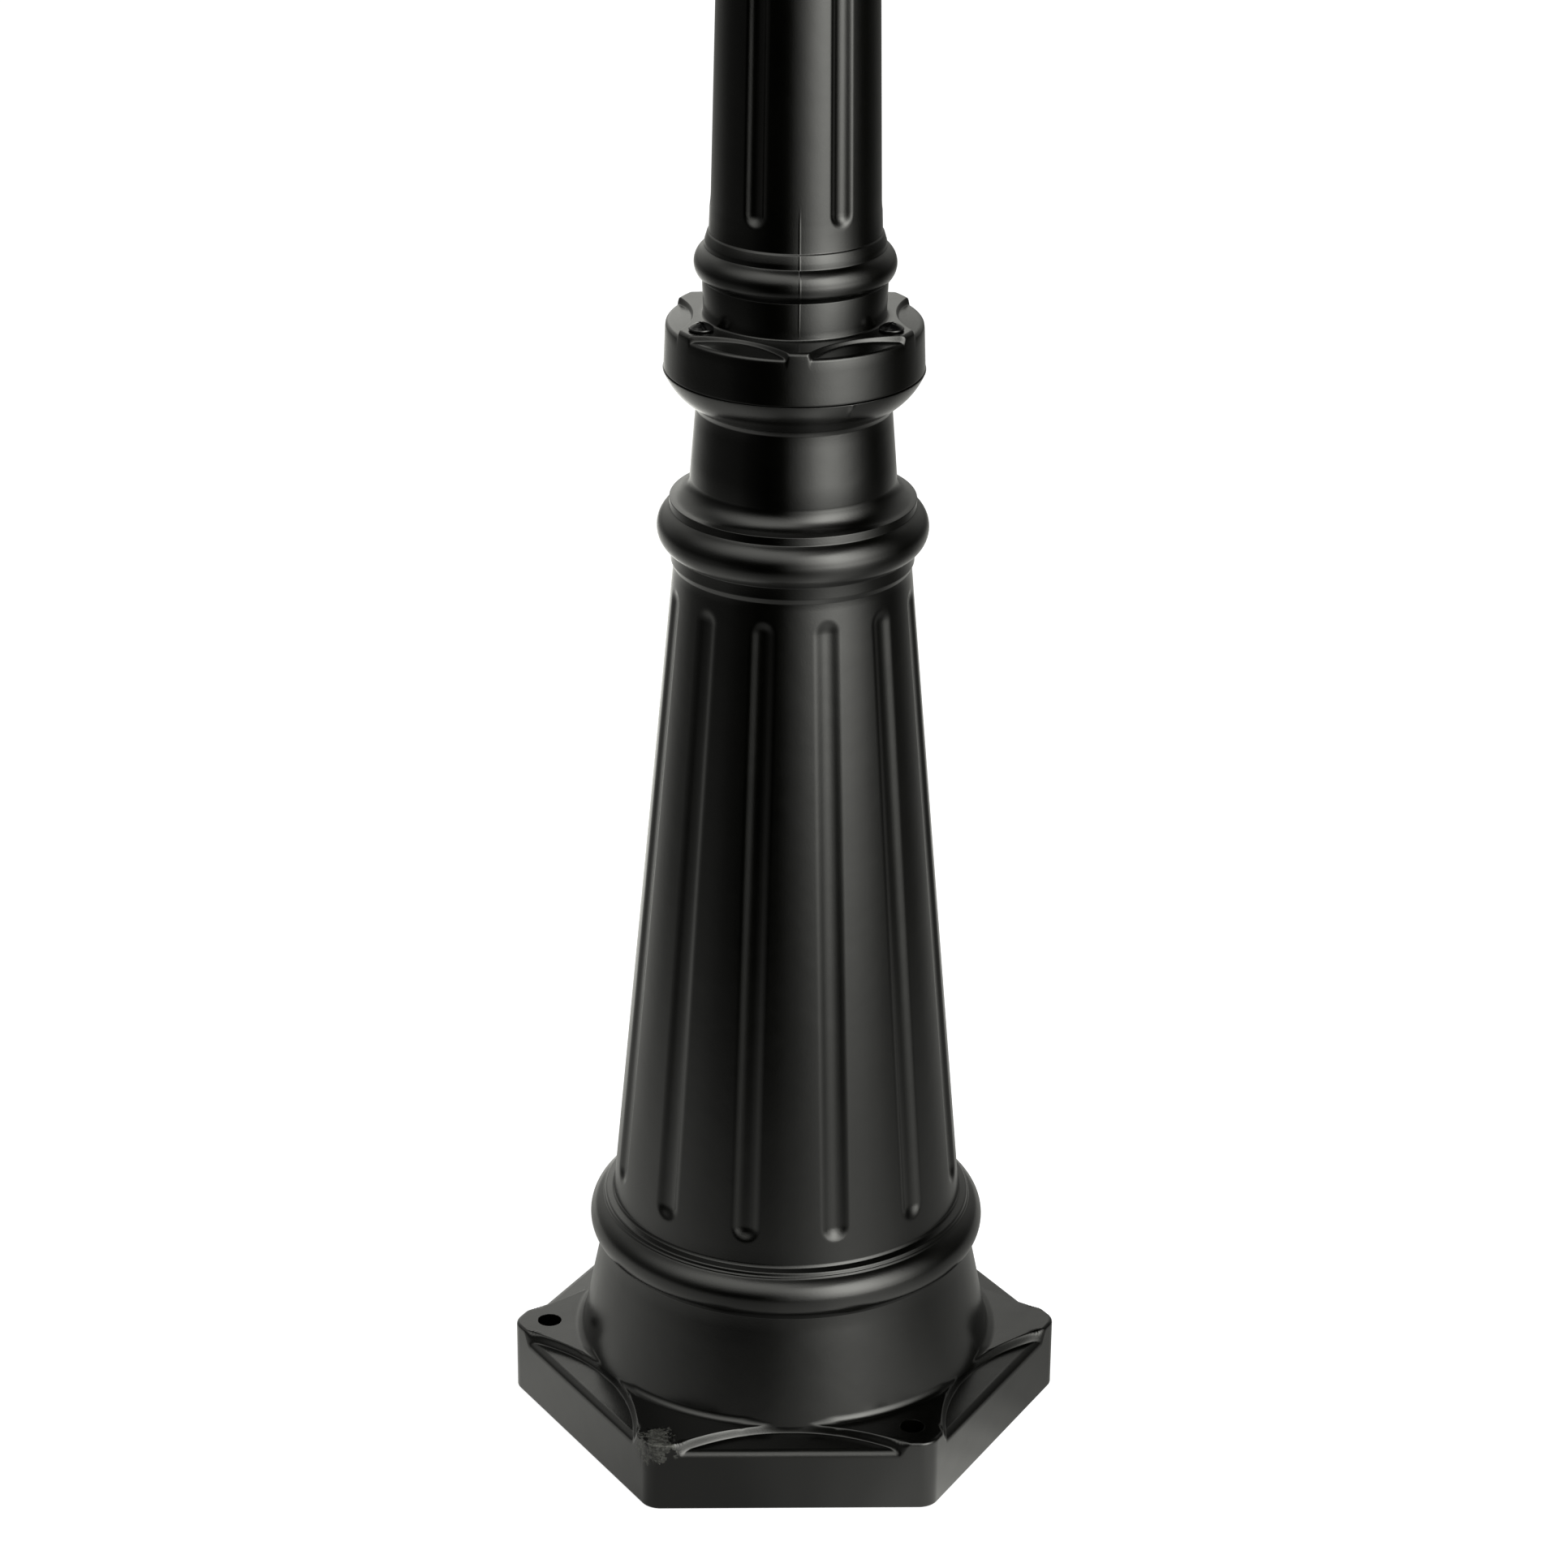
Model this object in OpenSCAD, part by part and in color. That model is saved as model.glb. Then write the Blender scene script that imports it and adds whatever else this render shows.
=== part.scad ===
// Cast aluminium lamp post with a six sided solar lantern.
// Millimetres. The origin is the centre of the foot on the ground, Z is up and -Y is the front.
// Two corners of the foot and two corners of the lantern lie on the X axis.

/* [Foot] */
// Reach of the six sided foot from its centre to a sharp corner
foot_reach = 132; // [126:1:142]
// Rounding of the foot's corners, seen from above
foot_corner_r = 10; // [6:1:14]
// Height of the corner pads
foot_h = 35; // [31:1:42]
// Radius of the arc that bounds each scooped shoulder
foot_scoop_r = 94; // [88:1:110]
// Depth of a scoop where it meets the bell
foot_scoop_depth = 3.7; // [2:0.1:4.4]
// Fall of a scoop's floor from the bell to its rounded edge
foot_scoop_fall = 0.9; // [0.5:0.1:2]
// Radius of the rounded edge along each side, below the scoop
foot_edge_r = 3.6; // [2:0.2:4.4]
// Width of the foot's outer wall, seen from below
foot_wall = 7; // [5:0.5:9]

/* [Anchor holes] */
// Diameter of the three anchor holes
anchor_d = 11.4; // [8:0.2:13]
// Distance of the anchor holes from the sharp corners of the foot
anchor_inset = 17.5; // [16:0.5:19]

/* [Bell and first ring] */
// Radius of the bell where it stands on the foot
bell_r = 98.4; // [96:0.2:100]
// Radius of the bell under the first ring
bell_top_r = 87.9; // [86:0.1:90]
// Height of the bell above the foot
bell_h = 51.4; // [45:0.1:60]
// Fillet between the bell and the corner pads
bell_fillet_r = 2.6; // [1.4:0.2:4]
// Radius of the first ring's section
ring1_tube_r = 11.8; // [10:0.1:13]

/* [Fluted shaft] */
// Radius of the shaft at its lower end
shaft_r = 82.5; // [80:0.1:84]
// Radius of the shaft at its upper end
shaft_top_r = 54; // [50:0.1:56]
// Length of the shaft between the rings
shaft_h = 316.5; // [280:0.5:400]
// Number of flutes round the shaft
shaft_flutes = 12; // [8:1:14]
// Width of a flute at the bottom of the shaft
shaft_flute_w = 12.3; // [9:0.1:14]
// Width of a flute at the top of the shaft
shaft_flute_top_w = 10.5; // [8:0.1:12]
// Radius of the round section that cuts the flutes of the shaft
shaft_flute_r = 11; // [8:0.5:16]
// Bare length of the shaft below the flutes
shaft_flute_low_margin = 11.5; // [6:0.5:30]
// Bare length of the shaft above the flutes
shaft_flute_margin = 8.5; // [6:0.5:30]

/* [Second ring and neck] */
// Radius of the second ring's section
ring2_tube_r = 11.3; // [9:0.1:12]
// Height of the plain band between the shaft and the second ring
band_h = 8; // [5:0.5:12]
// Radius of the hollow curve between the second ring and the neck
cove_r = 9.6; // [6:0.2:11]
// Radius of the neck at its lower end
neck_r = 46.6; // [44:0.1:48]
// Radius of the neck at its upper end
neck_top_r = 44; // [42.5:0.1:46]
// Height of the neck
neck_h = 33; // [20:0.5:60]
// Height of the flared seat on which the pole stands
seat_h = 18.2; // [14:0.1:24]
// Radius of the seat where the pole stands on it
seat_r = 58.7; // [57.6:0.1:60]
// Radius of the arc of the seat's flare
seat_arc_r = 32.6; // [26:0.2:60]
// Wall of the base casting
cast_wall = 5; // [4:0.5:6]

/* [Pole flange] */
// Height of the pole's flange up to its six pads
flange_h = 24.4; // [22:0.2:32]
// Radius of the flange at its top
flange_top_r = 57.7; // [56:0.1:58.4]
// Radius of the arc that bounds each scoop of the flange
flange_scoop_r = 53; // [48:1:60]
// Distance of those arcs from the axis of the post
flange_scoop_start = 45.4; // [45:0.1:46.4]
// Depth of a flange scoop beside the collar
flange_scoop_depth = 1.6; // [1:0.1:2.4]
// Fall of a flange scoop's floor to its rounded edge
flange_scoop_fall = 1.4; // [1:0.1:2.4]
// Radius of the rounded edge below each scoop of the flange
flange_edge_r = 2; // [1:0.1:2.6]
// Rounding of the outer edge of the six pads
flange_rim_r = 2; // [0.8:0.1:2.4]
// Radius of the circle on which the flange screws stand
screw_circle_r = 48.1; // [47.9:0.1:48.8]
// Diameter of the flange screws
screw_d = 6; // [5:0.5:6]
// Diameter of the heads of the flange screws
screw_head_d = 11.2; // [10:0.1:11.4]
// Height of the heads of the flange screws
screw_head_h = 3.5; // [3:0.1:4.6]

/* [Collar and lower pole] */
// Radius of the collar above the flange
collar_r = 41; // [40.4:0.1:42]
// Height of the collar below its ring
collar_h = 16.7; // [14:0.1:22]
// Radius of the section of the collar's ring
ring3_tube_r = 8.6; // [7:0.1:9.4]
// Radius of the lower pole above the ring
pole_r = 37.9; // [36:0.1:38.4]
// Narrowing of the lower pole's radius for each millimetre of its length
pole_taper = 0.0198; // [0.01:0.0002:0.021]
// Height of the joint between the lower and the upper pole
joint_z = 1180; // [1000:10:1300]
// Number of flutes round the pole
pole_flutes = 6; // [4:1:8]
// Width of a pole flute at its lower end
pole_flute_w = 10.2; // [7:0.1:11]
// Width of a pole flute where the two lengths of pole meet
pole_flute_joint_w = 7.6; // [6:0.1:9]
// Radius of the round section that cuts the pole flutes
pole_flute_r = 6.4; // [6:0.1:9]
// Wall of the poles
pole_wall = 4; // [3:0.5:5]

/* [Pole joint and upper pole] */
// Length of the tube inside the joint
coupling_l = 120; // [80:5:160]
// Wall of the tube inside the joint
coupling_wall = 3; // [2:0.5:4]
// Half of the height of the cast ring that covers the joint
joint_ring_half_h = 26; // [22:1:34]
// Length of the upper pole
upper_pole_l = 506; // [400:2:700]
// Radius of the upper pole at its lower end
upper_pole_r = 25.4; // [24.6:0.1:25.8]
// Radius of the upper pole at its upper end
upper_pole_top_r = 22.6; // [21:0.1:24]
// Diameter of the set screws
set_screw_d = 6; // [5:0.5:6]
// Clearance between pieces that slide into each other
slip_gap = 0.15; // [0.05:0.05:0.3]

/* [Capital] */
// Height of the capital up to the shoulder that carries the lantern
capital_h = 62; // [54:1:80]
// Depth of the socket over the pole
capital_socket_h = 34; // [26:1:40]
// Radius of the shoulder that carries the lantern
shoulder_r = 34; // [32:0.5:38]
// Radius of the tenon inside the lantern's cup
tenon_r = 25; // [23:0.5:26]
// Height of the tenon
tenon_h = 42; // [32:1:50]

/* [Lantern base] */
// Wall of the lantern's cup
cup_wall = 6; // [5:0.5:8]
// Height of the lantern's cup
cup_h = 47; // [44:1:56]
// Height of the bowl between the cup and the bottom plate
bowl_h = 29; // [22:1:40]
// Reach of the bottom plate to its corners
plate_reach = 98; // [94:1:108]
// Thickness of the bottom plate
plate_t = 6; // [4:0.5:8]

/* [Lantern cage] */
// Reach of the cage to its lower corners
cage_reach = 88; // [84:1:92]
// Reach of the cage to its upper corners
cage_top_reach = 124; // [116:1:128]
// Height of the cage
cage_h = 228; // [190:2:260]
// Thickness of the cage's side frames
frame_t = 4; // [3:0.5:5]
// Width of the side frames round the panes
frame_w = 9; // [7:0.5:11]
// Radius of the corner bars
corner_bar_r = 5.5; // [4:0.5:7]
// Thickness of the panes
pane_t = 2.5; // [2:0.25:3]
// Overlap of the panes behind the frames
pane_lap = 3; // [2:0.5:4]

/* [Roof] */
// Reach of the roof to its lower corners
roof_reach = 140; // [134:1:150]
// Reach of the roof to its upper corners
roof_top_reach = 36; // [30:1:42]
// Rise of the roof's slopes
roof_rise = 78; // [60:1:90]
// Height of the upright edge round the roof
eave_h = 10; // [8:0.5:14]
// Thickness of the roof's slopes
roof_t = 6; // [5:0.5:8]
// Thickness of a solar panel
panel_t = 3; // [2:0.25:3.5]
// Width of the roof's ribs beside the solar panels
panel_margin = 8; // [6:0.5:12]
// Thickness of the seal between roof and cage
gasket_t = 1.5; // [1:0.25:3]

/* [Finial] */
// Height of the finial
finial_h = 92; // [70:1:120]
// Radius of the finial's foot
finial_foot_r = 24; // [20:0.5:28]
// Radius of the finial's ball
finial_ball_r = 17; // [13:0.5:20]

/* [Light and electrics] */
// Thickness of the tray under the roof
tray_t = 3; // [2:0.5:4]
// Radius of the board that carries the lights
led_board_r = 32; // [26:1:40]
// Radius of the frosted lens
lens_r = 40; // [36:1:46]
// Depth of the frosted lens
lens_h = 26; // [18:1:34]
// Radius of the reflecting cone at its foot
reflector_r = 44; // [34:1:54]
// Height of the reflecting cone
reflector_h = 46; // [30:1:60]
// Diameter of a battery cell
cell_d = 18.4; // [14:0.2:21]
// Length of a battery cell
cell_l = 65; // [50:1:70]
// Travel of the switch
switch_travel = 4; // [2:0.5:5]

/* [Hidden] */
$fn = 96;
eps = 0.01;
sides = 6;
cos30 = cos(30);

// Sinking of each ring into the part below it, and the steps above the rings
ring1_sink = 1.5;
ring1_step = 4;
ring2_sink = 1.1;
ring2_step = 2.5;
ring3_sink = 1.2;
ring3_step = 5.7;
pole_foot_h = 12;
joint_ledge_t = 4;

// Heights, from the ground up
bell_top_z = foot_h + bell_h;
ring1_z = bell_top_z + ring1_tube_r - ring1_sink;
shaft_z = ring1_z + ring1_tube_r + ring1_step;
shaft_top_z = shaft_z + shaft_h;
ring2_z = shaft_top_z + band_h + ring2_tube_r - ring2_sink;
cove_z = ring2_z + ring2_tube_r + ring2_step;
neck_z = cove_z + cove_r;
neck_top_z = neck_z + neck_h;
seat_z = neck_top_z + seat_h;
pad_z = seat_z + flange_h;
ring3_z = pad_z + collar_h + ring3_tube_r - ring3_sink;
bead_z = ring3_z + ring3_tube_r + ring3_step;
pole_z = bead_z + pole_foot_h;
upper_z = joint_z + joint_ledge_t;
upper_top_z = upper_z + upper_pole_l;
capital_z = upper_top_z - capital_socket_h;
shoulder_z = capital_z + capital_h;
plate_z = shoulder_z + cup_h + bowl_h;
cage_z = plate_z + plate_t;
cage_top_z = cage_z + cage_h;
roof_z = cage_top_z + gasket_t;
slope_z = roof_z + eave_h;
crown_z = slope_z + roof_rise;

// Bell, rings and seat
ring1_outset = 11.4;
ring2_outset = 7.5;
ring1_r = shaft_r + ring1_outset - ring1_tube_r;
ring2_r = shaft_top_r + ring2_outset - ring2_tube_r;
ring1_crease = [ring1_r + 5.6, ring1_z + 11];
shaft_ledge = [ring1_r + 3.8, ring1_z + 12.6];
band_r = shaft_top_r + 1.2;
ledge_r = neck_r + cove_r - 0.4;
seat_low = [neck_top_r + 1.2, neck_top_z + 2.4];
bell_lean = atan((bell_r - bell_top_r) / bell_h);
shaft_flute_z = shaft_z + shaft_flute_low_margin;
shaft_flute_top_z = shaft_top_z - shaft_flute_margin;
function shaft_side_r(z) = shaft_r + (z - shaft_z) * (shaft_top_r - shaft_r) / shaft_h;

// Foot
foot_side = foot_reach * cos30;
anchor_circle_r = foot_reach - anchor_inset;
foot_scoop_start = bell_r;
foot_scoop_edge_z = foot_h - foot_scoop_depth - foot_scoop_fall;
foot_ceiling_z = foot_scoop_edge_z - foot_edge_r - 3;
foot_draft = 0.5;
anchor_boss_d = anchor_d + 9;

// Flange and collar
flange_scoop_edge_z = pad_z - flange_scoop_depth - flange_scoop_fall;
flange_draft = 0.3;
collar_foot_r = collar_r + 1.2;
collar_bead_r = collar_r - 0.8;
ring3_outset = 3.9;
ring3_r = collar_r + ring3_outset - ring3_tube_r;
spigot_r = 35.4;
spigot_h = 9;
deck_h = 12.5;
screw_thread_h = 6.5;
screw_boss_d = screw_d + 9;
screw_angles = [90, 210, 330];

// Pole
function lower_r(z) = pole_r - (z - pole_z) * pole_taper;
function upper_r(z) = upper_pole_r + (z - upper_z) * (upper_pole_top_r - upper_pole_r) / upper_pole_l;
joint_r = lower_r(joint_z);
coupling_r = upper_pole_r - pole_wall;
joint_socket_h = coupling_l / 2 + 4;
flute_joint_gap = joint_ring_half_h + 12;
pole_flute_z = pole_z - 1;
pole_flute_top_z = joint_z - flute_joint_gap;
upper_flute_z = upper_z + flute_joint_gap;
upper_flute_top_z = capital_z - 10;
upper_flute_w = pole_flute_joint_w - 0.6;
collar_screw_offset = joint_ring_half_h - 8;
collar_lower_bore_r = lower_r(joint_z - joint_ring_half_h) + slip_gap;

// Centre of the arc of a given radius from a low point to a high one, on the side of the axis
function arc_centre(low, high, r) =
    let (chord = high - low)
    (low + high) / 2 + sqrt(r * r - chord * chord / 4) / norm(chord) * [-chord.y, chord.x];

// Depth of a flute of a given width that a round section of a given radius cuts
function flute_depth(width, r) = r - sqrt(r * r - width * width / 4);

// Capital and cup
capital_bore_r = upper_r(capital_z) + slip_gap;
capital_screw_z = capital_z + 13;
cup_bore_r = tenon_r + slip_gap;
cup_r = cup_bore_r + cup_wall;
cup_top_z = shoulder_z + cup_h;
thumb_z = shoulder_z + cup_h / 2;

// Cage: lean and slanted length of its sides
cage_side = cage_reach * cos30;
cage_top_side = cage_top_reach * cos30;
cage_lean = atan((cage_top_side - cage_side) / cage_h);
cage_slant = cage_h / cos(cage_lean);
corner_lean = atan((cage_top_reach - cage_reach) / cage_h);
ring_t = 12;
ring_w = 22;
ring_inner_reach = cage_top_reach - ring_w;
corner_screw_r = ring_inner_reach + 7;
corner_screw_d = 3.9;
corner_screw_gap = 0.5;
frame_run_out = 3;
sill_w = frame_w + 1;
head_w = frame_w + 7;

// Roof: lean and slanted length of its slopes
roof_side = roof_reach * cos30;
roof_top_side = roof_top_reach * cos30;
roof_lean = atan((roof_top_side - roof_side) / roof_rise);
roof_slant = roof_rise / cos(roof_lean);
ridge_lean = atan((roof_top_reach - roof_reach) / roof_rise);
ridge_r = 4;
crown_t = 10;
crown_r = roof_top_reach * cos30 + 3;
stud_r = 4;
stud_l = 12;
panel_bed = panel_t + 0.2;
panel_gap = 0.5;
washer_t = 1.5;

// Tray
tray_reach = ring_inner_reach - 0.6;
tray_z = roof_z + 4;
tray_top_z = tray_z + tray_t;
tray_screw_r = tray_reach * cos30 - 6;
tray_screw_l = tray_t + 10;
led_board_t = 2;
cell_pitch = cell_d + 2.4;
cell_z = tray_top_z + 3 + cell_d / 2;
holder_w = 3 * cell_pitch + 3;
board = [52, 26, 1.6];
board_gap = 3.5;
post_h = 5;
switch_x = 66;
switch_l = 22;
switch_w = 12;
switch_h = 9;
knob_l = 7;
knob_w = 5;
knob_gap = 0.3;

black = [0.10, 0.10, 0.10];
steel = [0.70, 0.71, 0.72];
screw_black = [0.05, 0.05, 0.05];
glass = [0.85, 0.90, 0.92, 0.4];
cell_blue = [0.06, 0.09, 0.22];

// Repeats its children on the six sides, from the one between the first two corners
module each_side() {
    for (k = [0 : sides - 1]) rotate(30 + 60 * k) children();
}

// Repeats its children on the six corners
module each_corner() {
    for (k = [0 : sides - 1]) rotate(60 * k) children();
}

// Flat hexagon with a corner on X
module hexagon(reach) {
    polygon([for (k = [0 : sides - 1]) reach * [cos(60 * k), sin(60 * k)]]);
}

// Flat hexagon whose corners are round
module rounded_hexagon(reach, corner_r) {
    cut = corner_r * tan(30);
    centre = reach - corner_r / cos30;
    polygon([for (k = [0 : sides - 1], s = [-1, 1])
        reach * [cos(60 * k), sin(60 * k)] + cut * [cos(60 * k + s * 120), sin(60 * k + s * 120)]]);
    each_corner() translate([centre, 0]) circle(corner_r);
}

// Trapezium that stands on its base line
module trapezium(width, top_width, height, inset = 0, low = 0, high = 0) {
    function half(y) = (width + (top_width - width) * y / height) / 2 - inset;
    polygon([[-half(low), low], [half(low), low], [half(height - high), height - high],
             [-half(height - high), height - high]]);
}

// Stands a flat outline up on one side of a hexagon and leans it outward
module on_side(side, z, lean) {
    translate([side, 0, z]) rotate([0, lean, 0]) rotate([90, 0, 90]) children();
}

// One round ended groove along a leaning straight line between two points given as [radius, height]
module groove(low, high, r) {
    run = high - low;
    translate([low.x, 0, low.y]) rotate([0, atan(run.x / run.y), 0]) {
        cylinder(r = r, h = norm(run));
        sphere(r);
        translate([0, 0, norm(run)]) sphere(r);
    }
}

// Flute on a cone: the groove's ends are at the given heights
module flute(z, top_z, surface_r, surface_top_r, width, top_width, r) {
    low = [surface_r + r - flute_depth(width, r), z + width / 2];
    high = [surface_top_r + r - flute_depth(top_width, r), top_z - top_width / 2];
    groove(low, high, r);
}

// Circle of a torus section
module ring_section(centre_r, z, tube_r) {
    translate([centre_r, z]) circle(tube_r);
}

// Space above the floor of a scoop, as an outline of radius and height, with a rounded outer edge
module scoop_outline(start, end, floor_z, edge_z, edge_r) {
    centre = [end - edge_r + 0.06, edge_z - edge_r];
    difference() {
        polygon([[start - 8, floor_z + 0.3], [centre.x, edge_z], [centre.x, centre.y], [end + 4, centre.y],
                 [end + 4, floor_z + 12], [start - 8, floor_z + 12]]);
        translate(centre) circle(edge_r);
    }
}

// Upright wall of a scoop: a short cone whose side passes the start distance at height z
module scoop_wall(start, arc_r, z, draft) {
    translate([start + arc_r, 0, z - 12]) cylinder(r1 = arc_r - draft * 3, r2 = arc_r + draft, h = 16);
}

// Pan head with a round rim, as an outline of radius and height; the dome ends inside the rim
module pan_head_outline(head_d, head_h) {
    rim_r = head_h * 0.21;
    cap_r = head_d / 2 - rim_r;
    dome_end = [cap_r + rim_r * 0.5, rim_r * 1.7];
    dome_h = head_h - dome_end.y;
    dome_r = (dome_end.x * dome_end.x + dome_h * dome_h) / (2 * dome_h);
    square([cap_r, rim_r * 1.8]);
    ring_section(cap_r, rim_r, rim_r);
    intersection() {
        translate([0, head_h - dome_r]) circle(dome_r);
        translate([0, rim_r]) square([dome_end.x, head_h]);
    }
}

// Pan head screw with a cross recess, standing on its seat at height zero
module pan_screw(d, head_d, head_h, length) {
    slot_l = d * 0.8;
    slot_w = d * 0.18;
    difference() {
        union() {
            rotate_extrude() pan_head_outline(head_d, head_h);
            translate([0, 0, -length]) cylinder(d = d, h = length + eps);
        }
        for (a = [0, 90]) rotate(a)
            translate([-slot_l / 2, -slot_w / 2, head_h * 0.4]) cube([slot_l, slot_w, head_h]);
    }
}

// Headless screw along X, from its inner end at the origin, with a socket in its outer end
module set_screw(d, length) {
    rotate([0, 90, 0]) difference() {
        cylinder(d = d, h = length);
        translate([0, 0, length * 0.6]) cylinder(d = d * 0.5, h = length, $fn = 6);
    }
}

// The base casting: foot, bell, rings, fluted shaft, neck and seat

module foot() {
    fillet = [bell_r - bell_fillet_r * tan(bell_lean) + bell_fillet_r / cos(bell_lean) + eps,
              foot_h + bell_fillet_r + eps];
    difference() {
        union() {
            linear_extrude(foot_h) rounded_hexagon(foot_reach, foot_corner_r);
            rotate_extrude() difference() {
                polygon([[bell_r - 6, foot_h - 1], [fillet.x, foot_h - 1], fillet,
                         fillet - bell_fillet_r * [cos(bell_lean), sin(bell_lean)],
                         [bell_r - 6, fillet.y - 1]]);
                translate(fillet) circle(bell_fillet_r);
            }
        }
        each_side() intersection() {
            scoop_wall(foot_scoop_start, foot_scoop_r, foot_h, foot_draft);
            rotate([90, 0, 0]) linear_extrude(2 * foot_reach, center = true)
                scoop_outline(foot_scoop_start, foot_side, foot_h - foot_scoop_depth, foot_scoop_edge_z,
                              foot_edge_r);
        }
        difference() {
            translate([0, 0, -1]) linear_extrude(foot_ceiling_z + 1)
                hexagon(foot_reach - foot_wall / cos30);
            for (k = [0 : 2]) rotate(60 + 120 * k) translate([anchor_circle_r, 0, -2])
                cylinder(d = anchor_boss_d, h = foot_h);
        }
    }
}

module base_outline() {
    polygon([[0, foot_h - 8], [bell_r - 2, foot_h - 8], [bell_r - 2, foot_h - eps], [bell_r, foot_h - eps],
             [bell_r, foot_h], [bell_top_r, bell_top_z], [bell_top_r - 4, ring1_z], ring1_crease,
             shaft_ledge, [shaft_r, shaft_z], [shaft_top_r, shaft_top_z], [band_r, shaft_top_z + 2.4],
             [band_r, ring2_z - 5], [ledge_r, ring2_z], [ledge_r, cove_z], [neck_r - 2, neck_z + 1],
             [neck_r - 2, neck_z + 2], [0, neck_z + 2]]);
    ring_section(ring1_r, ring1_z, ring1_tube_r);
    ring_section(ring2_r, ring2_z, ring2_tube_r);
    // Neck with its hollow curve, and the flared seat
    difference() {
        translate([0, cove_z - eps]) square([ledge_r, cove_r + 0.4]);
        translate([neck_r + cove_r - 0.1, neck_z]) circle(cove_r);
        translate([neck_r, neck_z]) square([cove_r * 2, 1]);
    }
    polygon([[0, neck_z - 1], [neck_r, neck_z - 1], [neck_r, neck_z + 0.4], [neck_top_r, neck_top_z],
             seat_low, [seat_low.x, seat_z], [0, seat_z]]);
    intersection() {
        translate(arc_centre(seat_low, [seat_r, seat_z], seat_arc_r)) circle(seat_arc_r);
        translate([seat_low.x - 10, seat_low.y]) square([seat_r, seat_z - seat_low.y]);
    }
}

module base_hollow_outline() {
    polygon([[0, -1], [bell_r - cast_wall, -1], [bell_top_r - cast_wall, bell_top_z],
             [shaft_r - cast_wall - 2, shaft_z + 10], [shaft_top_r - cast_wall - 1, shaft_top_z - 4],
             [neck_r - cast_wall, neck_z], [neck_top_r - cast_wall, neck_top_z],
             [neck_top_r - cast_wall, seat_z - deck_h], [spigot_r + slip_gap, seat_z - deck_h],
             [spigot_r + slip_gap, seat_z + 1], [0, seat_z + 1]]);
}

module base_casting() {
    color(black) difference() {
        union() {
            foot();
            rotate_extrude() base_outline();
        }
        rotate_extrude() base_hollow_outline();
        for (k = [0 : 2]) rotate(60 + 120 * k)
            translate([anchor_circle_r, 0, -1]) cylinder(d = anchor_d, h = foot_h + 2);
        for (k = [0 : shaft_flutes - 1]) rotate((k + 0.5) * 360 / shaft_flutes)
            flute(shaft_flute_z, shaft_flute_top_z, shaft_side_r(shaft_flute_z + shaft_flute_w / 2),
                  shaft_side_r(shaft_flute_top_z - shaft_flute_top_w / 2), shaft_flute_w, shaft_flute_top_w,
                  shaft_flute_r);
        for (a = screw_angles) rotate(a)
            translate([screw_circle_r, 0, seat_z - screw_thread_h - 1]) cylinder(d = screw_d, h = 20);
    }
}

// The lower pole: scooped flange, collar with its ring, and the fluted pole

module flange_outline() {
    rim = [flange_top_r - flange_rim_r, pad_z - flange_rim_r];
    polygon([[spigot_r - 6, seat_z], [seat_r, seat_z], [flange_top_r, rim.y], [rim.x, pad_z],
             [spigot_r - 6, pad_z]]);
    translate(rim) circle(flange_rim_r);
}

module collar_outline() {
    polygon([[spigot_r - 6, pad_z - 1], [collar_foot_r, pad_z - 1], [collar_foot_r, pad_z + 0.4],
             [collar_r, pad_z + 2], [collar_r, ring3_z], [collar_bead_r, ring3_z + 8],
             [collar_bead_r, bead_z - 4.6], [collar_bead_r - 1.2, bead_z - 0.4], [pole_r + 0.4, bead_z],
             [pole_r, pole_z], [joint_r, joint_z], [spigot_r - 14, joint_z], [spigot_r - 14, pad_z]]);
    ring_section(ring3_r, ring3_z, ring3_tube_r);
}

module lower_pole() {
    bore_top_z = joint_z - joint_socket_h - 10;
    color(black) difference() {
        union() {
            difference() {
                rotate_extrude() flange_outline();
                intersection() {
                    rotate_extrude()
                        scoop_outline(flange_scoop_start, flange_top_r, pad_z - flange_scoop_depth,
                                      flange_scoop_edge_z, flange_edge_r);
                    each_corner() scoop_wall(flange_scoop_start, flange_scoop_r, pad_z, flange_draft);
                }
            }
            rotate_extrude() collar_outline();
            translate([0, 0, seat_z - spigot_h]) cylinder(r = spigot_r, h = spigot_h + 1);
        }
        // Hollow of the flange around its screw bosses
        difference() {
            rotate_extrude() translate([spigot_r + 4, seat_z - 1])
                square([seat_r - spigot_r - 9, flange_h - 8]);
            for (a = screw_angles) rotate(a) translate([screw_circle_r, 0, seat_z - 2])
                cylinder(d = screw_boss_d, h = flange_h);
        }
        for (a = screw_angles) rotate(a)
            translate([screw_circle_r, 0, seat_z - 1]) cylinder(d = screw_d + 0.6, h = flange_h + 2);
        // Bore of the pole: a cone, and the straight socket of the joint
        rotate_extrude() polygon([[0, seat_z - spigot_h - 1], [spigot_r - 3, seat_z - spigot_h - 1],
                                  [lower_r(pole_z) - pole_wall, pole_z], [coupling_r + slip_gap, bore_top_z],
                                  [coupling_r + slip_gap, joint_z + 1], [0, joint_z + 1]]);
        for (k = [0 : pole_flutes - 1]) rotate(360 * k / pole_flutes)
            flute(pole_flute_z, pole_flute_top_z, lower_r(pole_z), lower_r(pole_flute_top_z),
                  pole_flute_w, pole_flute_joint_w, pole_flute_r);
    }
}

module flange_screws() {
    for (a = screw_angles) color(screw_black) rotate(a) translate([screw_circle_r, 0, pad_z])
        pan_screw(screw_d - 0.1, screw_head_d, screw_head_h, flange_h + screw_thread_h);
}

// The joint of the two lengths of pole

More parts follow.
